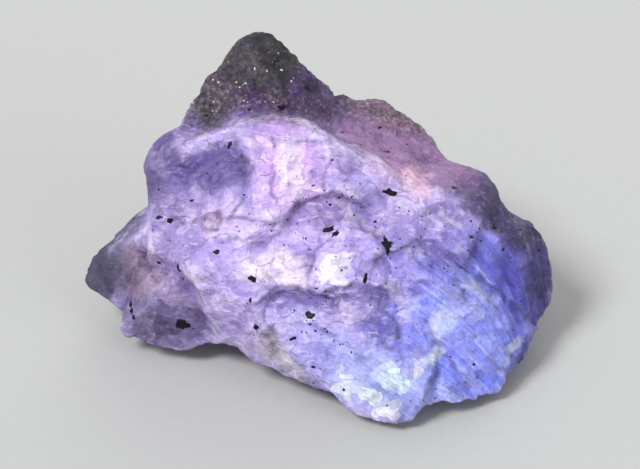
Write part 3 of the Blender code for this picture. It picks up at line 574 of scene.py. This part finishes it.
# Patterns over the zones, the lowest first: pattern; two of its values and the shares that they give; where it
# shows, or how strongly; how its colour is laid on.
LAYERS = (
    ("milk", (0.5, 0.68, 0.0, 0.45), "milky", "MIX", "#F5E6FF"),  # milky veils
    ("milk", (0.48, 0.32, 0.0, 0.36), "milky", "MIX", "#8675C4"),  # deeper violet clouds
    ("crack", None, 0.5, "MIX", "#6B5892"),
    ("fibre", (0.44, 0.3, 0.0, 0.45), "level", "MIX", "#8C78BE"),
    ("fibre", (0.56, 0.7, 0.0, 0.45), "level", "MIX", "#F8EAFF"),
    ("block", (0.55, 0.95, 0.0, 0.28), "fan", "MIX", "#C3CCFF"),
    ("block", (0.45, 0.05, 0.0, 0.22), "fan", "MIX", "#6F73D6"),
    ("streak", (0.55, 0.72, 0.0, 0.55), "fan", "MIX", "#DDE3FF"),
    ("streak", (0.45, 0.28, 0.0, 0.45), "fan", "MIX", "#5557BC"),
    ("crease", None, 0.6, "MIX", "#56447A"),  # painted shade: creases painted dark, partly the crack's own deep colour, partly the shade in the groove
    ("painted rim glow", None, 0.36, "MIX", "#FBF3FF"),  # painted glow: rims painted pale, as light shining through their thin edges
    ("edge", (0.04, 0.16, 0.0, 0.35), "still", "MIX", "#F0E2FF"),  # painted highlight: broken edges painted pale where they would catch the light
    ("edge", (-0.14, -0.01, 0.4, 0.0), None, "MULTIPLY", "#7A6BA2"),  # painted shade: small hollows painted deeper
    ("deep", (-0.9, 0.1, 0.5, 0.0), None, "MULTIPLY", "#7C70A6"),  # painted shade in broad hollows too
)
# The crust: brown stains, fewer on the dark flank, and light and dark grains.
CRUST_COLOUR, CRUST_COVER = "#544A44", 0.9
CRUST_STAINS, FLANK_STAINS = (0.42, 0.6, 0.0, 1.0), (0.2, 0.8, 0.45, 0.05)
CRUST_GRAINS = (0.34, 0.66, 0.32, 2.0)
# Specks over the crust and all else, as in the layers.
SPECKS = (
    # painted glints: pale spots that stand for highlights on the crust
    ("painted_glint", None, "crusty", "MIX", "#D9D6D2"),
    ("fine", (0.52, 0.7, 0.0, 0.4), "waxy", "MIX", "#C09AC2"),  # pinker spots
    ("fine", (0.44, 0.28, 0.0, 0.5), "waxy", "MIX", "#54405A"),  # browner spots
    ("dust", None, 0.85, "MIX", "#2C2438"),
)
# Fine relief: pattern, its height in millimetres, and where it shows.
RELIEF = (
    ("fine", 0.15, None),
    ("fibre", 0.1, "level"),
    ("streak", 0.16, "fan"),
    ("block", 0.1, "fan"),
    ("crack", -0.03, None),
    ("fine", 0.2, "crusty"),
)


def break_plates(add, place, size, lean):
    """Flat break faces of this size that lean at random: their cells, height in millimetres and random tones."""
    cells = add("TexVoronoi", {"Vector": place, "Scale": 1.0 / size}).outputs
    tones = add("SeparateColor", (cells["Color"],)).outputs
    lean_to = add("VectorMath", (cells["Color"], HALF), "SUBTRACT")
    offset = add("VectorMath", (place, cells["Position"]), "SUBTRACT")
    rise = add("VectorMath", (offset, lean_to), "DOT_PRODUCT").outputs["Value"]
    return cells, add("Math", (rise, lean), "MULTIPLY"), tones


def zone_colours(add, zone_place, plate_place, plate_middle):
    """The colour of all zones laid over each other, and the share of each."""
    colour, shares = linear(BODY_COLOUR), {}
    for name, middle, half, turn, softness, strength, hex_colour in ZONES:
        angle = math.radians(turn)
        along = math.cos(angle) * RIGHT + math.sin(angle) * UP
        across = -math.sin(angle) * RIGHT + math.cos(angle) * UP
        # A facet covers whole small plates, so its outline follows their edges.
        place = plate_middle if name in FACETS else plate_place if name in BLOCKS + GRAINS else zone_place
        boxed = name in FACETS + BLOCKS
        reach = 1.0 if boxed else 1.0 + softness
        box = {
            "Vector": place,
            "Location": tuple(middle[0] * RIGHT + middle[1] * UP + middle[2] * NEAR),
            "Rotation": Matrix((along, across, NEAR)).transposed().to_euler(),
            "Scale": tuple(reach * size for size in half),
        }
        local = add("Mapping", box, vector_type="TEXTURE")
        if boxed:
            sides = add("VectorMath", (local,), "ABSOLUTE")
            sides = add("SeparateXYZ", (sides,)).outputs
            gap = add("Math", (sides[0], sides[1]), "MAXIMUM")
            gap = add("Math", (gap, sides[2]), "MAXIMUM")
            ends = (1.0 - softness, 1.0 + softness, strength, 0.0)
        else:
            gap = add("TexGradient", (local,), gradient_type="SPHERICAL").outputs["Fac"]
            ends = (0.0, 2.0 * softness / reach, 0.0, strength)
        shares[name] = add("MapRange", (gap, *ends), **SMOOTH)
        colours = {0: shares[name], 6: colour, 7: linear(hex_colour)}
        colour = add("Mix", colours, data_type="RGBA").outputs[2]
    return colour, shares


def zone_masks(add, shares, fan):
    """Where the stone is crusty, waxy or clear, and where veils, fibres and cracks show."""
    masks = {}
    groups = {"crusty": CRUSTY, "dusky": (*CRUSTY, "smoky side point"), "waxy": WAXY, "calm": CALM}
    for group, names in groups.items():
        share = 0.0
        for name in names:
            share = add("Math", (share, shares[name]), "MAXIMUM")
        masks[group] = share
    masks["clear"] = add("Math", (1.0, masks["dusky"]), "SUBTRACT")
    calm = add("Math", (masks["calm"], MILKY_CALM), "MULTIPLY")
    faint_fan = add("Math", (fan, MILKY_FAN), "MULTIPLY")
    still = masks["clear"]
    for less in (masks["waxy"], calm):
        still = add("Math", (still, less), "SUBTRACT", use_clamp=True)
    masks["still"] = still
    masks["milky"] = add("Math", (still, faint_fan), "SUBTRACT", use_clamp=True)
    masks["level"] = add("Math", (still, fan), "SUBTRACT", use_clamp=True)
    return masks


def growth_patterns(add, growth, along_growth):
    """Streaks along the growth lines, and a random tone for each of the blocks that they are cut into."""
    places = []
    for across, along in (STREAK_SIZE, BLOCK_SIZE):
        across = add("Math", (growth, 1.0 / across), "MULTIPLY")
        along = add("Math", (along_growth, 1.0 / along), "MULTIPLY")
        places.append(add("CombineXYZ", (across, along)))
    rough = {"Vector": places[0], "Scale": 1.0, "Detail": 4.0, "Roughness": 0.7, "Distortion": 0.5}
    streak = add("TexNoise", rough, noise_dimensions="2D")
    even = {"Vector": places[1], "Scale": 1.0, "Randomness": 0.8}
    block = add("TexVoronoi", even, voronoi_dimensions="2D", distance="CHEBYCHEV")
    return streak, add("SeparateColor", (block.outputs["Color"],)).outputs[0]


def tanzanite():
    """Rough tanzanite, broken and unpolished: waxy to glassy faces, milky inside, with zones of colour."""
    material, tree, surface = new_material("rough_tanzanite")
    add = partial(add_node, tree)
    values = {name: add("Attribute", attribute_name=name).outputs["Fac"] for name in STORED}

    # Millimetres from the face frame's origin, along the row's axes, and how zones and plates stray from there.
    place = add("TexCoord").outputs["Object"]
    place = add("VectorMath", {0: place, "Scale": 1.0 / MM}, "SCALE")
    place = add("VectorMath", (place, tuple(FACE_ORIGIN)), "SUBTRACT")
    wander = {"Vector": place, "Scale": 1.0 / WANDER_SIZE, "Detail": 3.0, "Roughness": 0.55}
    wander = add("TexNoise", wander).outputs["Color"]
    wander = add("VectorMath", (wander, HALF), "SUBTRACT")
    strays = [add("VectorMath", {0: wander, "Scale": reach}, "SCALE") for reach in (ZONE_WANDER, PLATE_WANDER)]
    zone_place, plate_place = (add("VectorMath", (place, stray), "ADD") for stray in strays)

    # Break plates of two sizes, and the zones of colour over them.
    broad, broad_rise, broad_tones = break_plates(add, plate_place, BROAD_PLATE, BROAD_LEAN)
    small, small_rise, small_tones = break_plates(add, plate_place, SMALL_PLATE, SMALL_LEAN)
    colour, shares = zone_colours(add, zone_place, plate_place, small["Position"])
    values.update(zone_masks(add, shares, values["fan"]))
    # The rims' painted glow, where the stone is clear.
    values["painted rim glow"] = add("Math", (values["rim"], values["clear"]), "MULTIPLY")

    # Clouds inside the stone, which change from plate to plate, mottling, fibres and growth.
    inner, fine = (
        add("TexNoise", {"Vector": place, "Scale": 1.0 / size, "Detail": 4.0, "Roughness": roughness})
        for size, roughness in ((INNER_SIZE, 0.6), (FINE_SIZE, 0.72))
    )
    values["milk"], values["fine"] = inner, fine
    tone = 0.0
    for tones, tone_ends, milk_ends in zip((broad_tones, small_tones), PLATE_TONES, PLATE_MILK):
        change = add("MapRange", (tones[0], 0.0, 1.0, *tone_ends), **SMOOTH)
        tone = add("Math", (tone, change), "ADD")
        change = add("MapRange", (tones[1], 0.0, 1.0, *milk_ends), **SMOOTH)
        values["milk"] = add("Math", (values["milk"], change), "ADD")
    fibre = tuple(1.0 / size for size in FIBRE_SIZE)
    fibre = add("VectorMath", (plate_place, fibre), "MULTIPLY")
    fibre = {"Vector": fibre, "Scale": 1.0, "Detail": 2.0, "Roughness": 0.65}
    values["fibre"] = add("TexNoise", fibre)
    values["streak"], values["block"] = growth_patterns(add, values["growth"], values["along_growth"])

    # Hair cracks between some of the broad plates, painted glints (pale spots painted as highlights) in the
    # crust, and fine dark dust.
    crack = {"Vector": plate_place, "Scale": 1.0 / BROAD_PLATE}
    crack = add("TexVoronoi", crack, feature="DISTANCE_TO_EDGE").outputs["Distance"]
    painted_glint = add("TexVoronoi", {"Vector": plate_place, "Scale": 1.0 / PAINTED_GLINT_SIZE}).outputs
    painted_glint_tones = add("SeparateColor", (painted_glint["Color"],)).outputs
    marks = (
        ("crack", (crack, 0.006, 0.024, 1.0, 0.0)),
        ("crack", (broad_tones[2], 0.3, 0.6, 0.1, 1.0)),
        ("crack", (inner, 0.42, 0.55, 0.0, 1.0)),
        ("painted_glint", (painted_glint_tones[1], 0.84, 0.85, 0.0, 1.0)),
        ("painted_glint", (painted_glint["Distance"], 0.22, 0.34, 1.0, 0.0)),
        ("painted_glint", (inner, 0.48, 0.54, 0.0, 1.0)),
        ("dust", (small["Distance"], 0.1, 0.17, 1.0, 0.0)),
        ("dust", (small_tones[2], 0.55, 0.6, 0.0, 1.0)),
        ("dust", (inner, 0.6, 0.42, 0.3, 1.0)),
    )
    values.update({"crack": values["level"], "painted_glint": 1.0, "dust": 1.0})
    for name, ends in marks:
        share = add("MapRange", ends, **SMOOTH)
        values[name] = add("Math", (values[name], share), "MULTIPLY")

    def laid(colour, layers):
        """The colour with these layers over it."""
        for pattern, ends, mask, blend, hex_colour in layers:
            share = values[pattern]
            if ends:
                share = add("MapRange", (share, *ends), **SMOOTH)
            if mask:
                share = add("Math", (share, values.get(mask, mask)), "MULTIPLY")
            colours = {0: share, 6: colour, 7: linear(hex_colour)}
            colour = add("Mix", colours, data_type="RGBA", blend_type=blend).outputs[2]
        return colour

    colour = laid(colour, LAYERS)
    stains = add("MapRange", (inner, *CRUST_STAINS), **SMOOTH)
    fewer = add("MapRange", (shares["dark peak flank"], *FLANK_STAINS), **SMOOTH)
    stains = add("Math", (stains, fewer), "MULTIPLY")
    grains = add("MapRange", (fine, *CRUST_GRAINS), **SMOOTH)
    grains = add("CombineColor", (grains, grains, grains))
    crust = add("Mix", {0: stains, 6: colour, 7: linear(CRUST_COLOUR)}, data_type="RGBA").outputs[2]
    crust = add("Mix", {0: 1.0, 6: crust, 7: grains}, data_type="RGBA", blend_type="MULTIPLY").outputs[2]
    cover = add("Math", (values["crusty"], CRUST_COVER), "MULTIPLY")
    colour = add("Mix", {0: cover, 6: colour, 7: crust}, data_type="RGBA").outputs[2]
    colour = laid(colour, SPECKS)
    change = add("MapRange", (fine, *FINE_TONES), **SMOOTH)
    tone = add("Math", (tone, change), "ADD")
    tone = add("CombineColor", (tone, tone, tone))
    colour = add("Mix", {0: 1.0, 6: colour, 7: tone}, data_type="RGBA", blend_type="MULTIPLY").outputs[2]

    # Glassy on fresh breaks, waxy on old ones, dull on the crust.
    gloss = add("MapRange", (broad_tones[2], 0.0, 1.0, *PLATE_GLOSS), **SMOOTH)
    for name in ("dusky", "waxy"):
        gloss = add("Math", (values[name], DULLER, gloss), "MULTIPLY_ADD")
    through = add("Math", (values["clear"], CLEARNESS), "MULTIPLY")

    # Bump in millimetres: break plates, curved ribs on the broad ones, and the fine relief.
    rib = add("Math", (broad["Distance"], BROAD_PLATE * math.tau / PLATE_RIB), "MULTIPLY")
    rib = add("Math", (rib,), "SINE")
    rib_height = add("MapRange", (broad_tones[1], 0.4, 0.6, 0.0, PLATE_RIB_HEIGHT), **SMOOTH)
    height = add("Math", (broad_rise, small_rise), "ADD")
    height = add("Math", (rib, rib_height, height), "MULTIPLY_ADD")
    for pattern, amount, mask in RELIEF:
        rise = values[pattern]
        if mask:
            rise = add("Math", (rise, values[mask]), "MULTIPLY")
        height = add("Math", (rise, amount, height), "MULTIPLY_ADD")
    bump = add("Bump", {"Height": height, "Strength": 1.0, "Distance": MM})

    feed(surface, {"Base Color": colour, "Roughness": gloss, "Transmission Weight": through, "Normal": bump})
    feed(surface, {"Metallic": 0.0, "IOR": 1.69, "Specular IOR Level": 0.3})
    depth = {"Color": linear(DEPTH_COLOUR), "Density": DEPTH_DENSITY}
    feed(tree.nodes["Material Output"], {"Volume": add("VolumeAbsorption", depth)})
    return material


# Flecks on the best side: right, up, half width, half height and turn in degrees.
FLECKS = (
    (-12.5, 0.9, 0.62, 0.6, 0), (5.9, 8.1, 0.5, 0.78, 8), (0.8, 9.5, 0.55, 0.3, 25),
    (1.35, 9.15, 0.3, 0.42, -10), (-0.9, 1.9, 0.4, 0.36, -15), (6.3, 12.8, 0.55, 0.34, -12),
    (4, 5.2, 0.2, 0.45, -8), (-14.5, 10.6, 0.3, 0.2, 10), (-13.5, 10.3, 0.28, 0.26, -30),
    (-12.7, 6, 0.26, 0.38, 10), (-12.3, 5.1, 0.18, 0.18, 0), (-14.6, 6.5, 0.2, 0.16, 0),
    (-9.2, 7.5, 0.34, 0.2, 15), (-6, 5.1, 0.36, 0.34, 0), (-6.2, 3.2, 0.16, 0.24, 0),
    (-5.7, 0.8, 0.26, 0.34, -20), (-17.3, 2.7, 0.17, 0.36, 15), (-17.2, 2.1, 0.22, 0.26, 0),
    (-17, 1.5, 0.18, 0.26, -10), (-8.1, 17.1, 0.2, 0.34, -20), (-3.5, 20.6, 0.45, 0.22, -10),
    (-6.4, 20.4, 0.18, 0.14, 0), (-11.5, 12.1, 0.18, 0.14, 0), (-2.4, -0.2, 0.3, 0.16, 20),
    (-0.4, 0.5, 0.18, 0.12, 0), (-0.6, -2.7, 0.2, 0.12, 0), (2.1, -4.7, 0.14, 0.12, 0),
    (12.2, 13.3, 0.3, 0.18, 0), (15.8, 9.7, 0.26, 0.24, 20), (16.5, 7.7, 0.18, 0.14, 0),
    (13.6, 8.8, 0.2, 0.14, 0), (5.5, 18.9, 0.22, 0.14, 20), (2, 18.4, 0.2, 0.14, 0),
    (6.2, 16.6, 0.24, 0.12, 10), (4.9, 10.2, 0.2, 0.13, 30), (0.9, 11.7, 0.16, 0.12, 0),
    (-0.6, 13.4, 0.2, 0.1, 10), (-4.3, 9.4, 0.1, 0.1, 0), (1.1, 15.7, 0.14, 0.1, 0),
    (-0.3, 4.3, 0.16, 0.08, 0), (1.9, 5.9, 0.08, 0.1, 0), (6.7, 6.1, 0.08, 0.08, 0),
    (4.4, 2.8, 0.1, 0.08, 0), (13.7, -2.5, 0.16, 0.14, 0), (14, -3.7, 0.12, 0.12, 0),
    (11.6, -1.8, 0.1, 0.08, 0), (5.9, -6, 0.1, 0.08, 0), (20.1, 7.6, 0.14, 0.12, 0),
    (-10.4, 19.9, 0.2, 0.14, 0),
)
DUSTY_CREASES = ("recess", "right crack", "lobe top", "middle", "crest", "lower step")
CREASE_DUST = 16  # tiny flecks along each of these creases
CREASE_DUST_SIZE, CREASE_DUST_STRETCH = (0.04, 0.1), (0.7, 1.6)
CREASE_SPREAD = 0.35  # how far they lie from the crease
SPREAD_DUST, SPREAD_DUST_SIZE = 230, (0.04, 0.11)  # tiny flecks scattered over the stone
HIDDEN_FLECKS, HIDDEN_SIZE = 22, (0.2, 0.6)  # flecks on the sides, the back and the underside
SPREAD_STRETCH = (0.6, 1.5)
HIDDEN_FROM = -0.15  # how far they point toward the best side at most
FLECK_TURN = 3.1  # the largest turn, in radians
CLEAR_OF_FLOOR = 0.5  # no scattered flecks below this height
RAGGED = (0.05, 0.2)  # how far a fleck's outline bulges, as a share of its size
FLECK_SINK = 0.12  # how deep a fleck goes into the stone
FLECK_RISE = 0.02  # how far a tiny one stands out of it
LARGE_RISE, LARGE = 0.05, 0.25  # how far a larger one does, and from which half size
FLECK_SEARCH = 0.8  # how far from a fleck's plane the skin is looked for
FLECK_RINGS, FLECK_SIDES = 3, 18
GRAPHITE_SCALE, GRAPHITE_BUMP = 0.2, 0.05  # size and relief of the scales


def fleck_patch(shape, tree, spot, out, half_width, half_height, turn, chance):
    """One flake of graphite, bedded in the skin at a spot."""
    out = out.normalized()
    along = out.cross(Vector(UP)).cross(out) if abs(out.dot(Vector(UP))) < 0.9 else out.orthogonal()
    along.normalize()
    side = along.cross(out)
    phase = [chance.uniform(0.0, math.tau) for _ in range(4)]
    depth = [chance.uniform(*RAGGED) for _ in range(4)]

    def skin_point(angle, share):
        ragged = 1.0 + sum(d * math.sin(k * angle + p) for k, (p, d) in enumerate(zip(phase, depth), start=2))
        flat_x = math.cos(angle) * half_width * ragged * share
        flat_y = math.sin(angle) * half_height * ragged * share
        x = flat_x * math.cos(turn) - flat_y * math.sin(turn)
        y = flat_x * math.sin(turn) + flat_y * math.cos(turn)
        start = spot + side * x + along * y
        hit, _, _, _ = tree.ray_cast(start + out * FLECK_SEARCH, -out, 2.0 * FLECK_SEARCH)
        return start if hit is None else hit

    stand = LARGE_RISE if max(half_width, half_height) > LARGE else FLECK_RISE
    centre = shape.verts.new(metres(skin_point(0.0, 0.0) + out * stand))
    rings = []
    for ring in range(1, FLECK_RINGS + 1):
        share = ring / FLECK_RINGS
        rise = stand if ring < FLECK_RINGS else 0.0
        rings.append([
            shape.verts.new(metres(skin_point(math.tau * k / FLECK_SIDES, share) + out * rise))
            for k in range(FLECK_SIDES)
        ])
    rings.append([shape.verts.new(vert.co - out * FLECK_SINK * MM) for vert in rings[-1]])
    bottom = shape.verts.new(centre.co - out * FLECK_SINK * MM)
    for k in range(FLECK_SIDES):
        after = (k + 1) % FLECK_SIDES
        shape.faces.new((centre, rings[0][k], rings[0][after]))
        for inner, outer in zip(rings, rings[1:]):
            shape.faces.new((inner[k], outer[k], outer[after], inner[after]))
        shape.faces.new((bottom, rings[-1][after], rings[-1][k]))


def graphite_flecks(skin):
    """All flecks as one mesh of thin flakes that follow the skin."""
    chance = random.Random(SEED + 9)
    faces = [tuple(side.vertices) for side in skin.mesh.polygons]
    tree = BVHTree.FromPolygons([Vector(p) for p in skin.points], faces)
    shape = bmesh.new()

    def dust_patch(hit, out, half, reach):
        stretch = chance.uniform(*reach)
        turn = chance.uniform(0.0, FLECK_TURN)
        fleck_patch(shape, tree, hit, out, half * stretch, half / stretch, turn, chance)

    for right, up, half_width, half_height, turn in FLECKS:
        hit, out, _, _ = tree.ray_cast(Vector(face(right, up, OUTSIDE)), -Vector(NEAR))
        if hit is not None:
            fleck_patch(shape, tree, hit, out, half_width, half_height, math.radians(turn), chance)
    for path in (path for name, _, _, path in CREASES if name in DUSTY_CREASES):
        for _ in range(CREASE_DUST):
            step = chance.randrange(len(path) - 1)
            share = chance.random()
            right, up = (
                (1.0 - share) * first + share * last + chance.gauss(0.0, CREASE_SPREAD)
                for first, last in zip(path[step], path[step + 1])
            )
            hit, out, _, _ = tree.ray_cast(Vector(face(right, up, OUTSIDE)), -Vector(NEAR))
            if hit is not None:
                dust_patch(hit, out, chance.uniform(*CREASE_DUST_SIZE), CREASE_DUST_STRETCH)
    middle = Vector(skin.points.mean(axis=0))
    for index in range(SPREAD_DUST + HIDDEN_FLECKS):
        tiny = index < SPREAD_DUST
        heading = Vector([chance.gauss(0.0, 1.0) for _ in range(3)]).normalized()
        hit, out, _, _ = tree.ray_cast(middle + heading * OUTSIDE, -heading)
        half = chance.uniform(*(SPREAD_DUST_SIZE if tiny else HIDDEN_SIZE))
        if hit is None or hit.z < CLEAR_OF_FLOOR or not (tiny or heading.dot(Vector(NEAR)) < HIDDEN_FROM):
            continue
        dust_patch(hit, out, half, SPREAD_STRETCH)
    bmesh.ops.recalc_face_normals(shape, faces=shape.faces)
    mesh = bpy.data.meshes.new("graphite_flecks")
    shape.to_mesh(mesh)
    shape.free()
    return mesh


def graphite():
    """Graphite, grown in flat scales: near black, with a soft metal shine where a scale lies flat."""
    material, tree, surface = new_material("graphite")
    place = add_node(tree, "TexCoord").outputs["Object"]
    scales = {"Vector": place, "Scale": 1.0 / (GRAPHITE_SCALE * MM), "Detail": 3.0}
    scales = add_node(tree, "TexNoise", scales)
    colours = {0: scales, 6: linear("#07050C"), 7: linear("#16121F")}
    colour = add_node(tree, "Mix", colours, data_type="RGBA").outputs[2]
    bump = {"Height": scales, "Strength": 0.6, "Distance": GRAPHITE_BUMP * MM}
    feed(surface, {"Base Color": colour, "Normal": add_node(tree, "Bump", bump)})
    feed(surface, {"Metallic": 0.0, "Roughness": 0.5, "Specular IOR Level": 0.16})
    return material


FLOOR_SIZE = 12.0  # metres
PAPER_FIBRE = 0.8
CAMERA_DISTANCE = 250.0
CAMERA_UP = 9.05  # the height on the best side that the camera looks at
FOCAL_PIXELS, PICTURE_WIDTH, SENSOR = 2684.0, 640.0, 36.0
ROOM_COLOUR, ROOM_STRENGTH = "#E9EAED", 0.76  # the even light from all around

# Soft lights that reach the whole floor: name, where they come from, softness in degrees, strength and colour.
LIGHTS = (
    ("key_light", (-0.24, -0.16, 0.34), 22.0, 3.4, "#F9FAFF"),
    ("fill_light", (0.32, -0.28, 0.14), 40.0, 0.9, "#F2F5FF"),
    ("rim_light", (0.10, 0.34, 0.22), 40.0, 1.0, "#FFFFFF"),
)


def paper():
    """Pale studio paper: matt, with a faint fibre tone."""
    material, tree, surface = new_material("studio_paper")
    place = add_node(tree, "TexCoord").outputs["Object"]
    fibre = {"Vector": place, "Scale": 1.0 / (PAPER_FIBRE * MM), "Detail": 3.0}
    colours = {0: add_node(tree, "TexNoise", fibre), 6: linear("#A4A4A1"), 7: linear("#AAAAA7")}
    colour = add_node(tree, "Mix", colours, data_type="RGBA").outputs[2]
    feed(surface, {"Base Color": colour, "Roughness": 0.85})
    return material


def studio():
    """The floor, the lights and the camera."""
    half = FLOOR_SIZE / 2.0
    corners = [(-half, -half, 0.0), (half, -half, 0.0), (half, half, 0.0), (-half, half, 0.0)]
    sheet = bpy.data.meshes.new("studio_floor")
    sheet.from_pydata(corners, [], [(0, 1, 2, 3)])
    sheet.materials.append(paper())
    add_object("studio_floor", sheet)
    for name, direction, softness, strength, hex_colour in LIGHTS:
        lamp = bpy.data.lights.new(name, "SUN")
        lamp.angle = math.radians(softness)
        lamp.energy = strength
        lamp.color = linear(hex_colour)[:3]
        add_object(name, lamp).rotation_euler = Vector(direction).to_track_quat("Z", "Y").to_euler()
    world = bpy.data.worlds.new("studio_room")
    world.use_nodes = True
    feed(world.node_tree.nodes["Background"], (linear(ROOM_COLOUR), ROOM_STRENGTH))
    bpy.context.scene.world = world
    bpy.context.scene.view_settings.view_transform = "Standard"
    lens = bpy.data.cameras.new("camera")
    lens.sensor_width = SENSOR
    lens.lens = FOCAL_PIXELS / PICTURE_WIDTH * SENSOR
    lens.clip_start = 0.01
    camera = add_object("camera", lens)
    camera.location = metres(face(0.0, CAMERA_UP, CAMERA_DISTANCE))
    camera.rotation_euler = (-Vector(NEAR)).to_track_quat("-Z", "Y").to_euler()
    bpy.context.scene.camera = camera


skin = weathered_skin()
stone = add_object("tanzanite_stone", skin.mesh)
skin.mesh.materials.clear()
skin.mesh.materials.append(tanzanite())
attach(stone, "root")
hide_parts("tanzanite_crystal")

flecks = add_object("graphite_flecks", graphite_flecks(skin))
flecks.data.materials.append(graphite())
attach(flecks, "root")

studio()
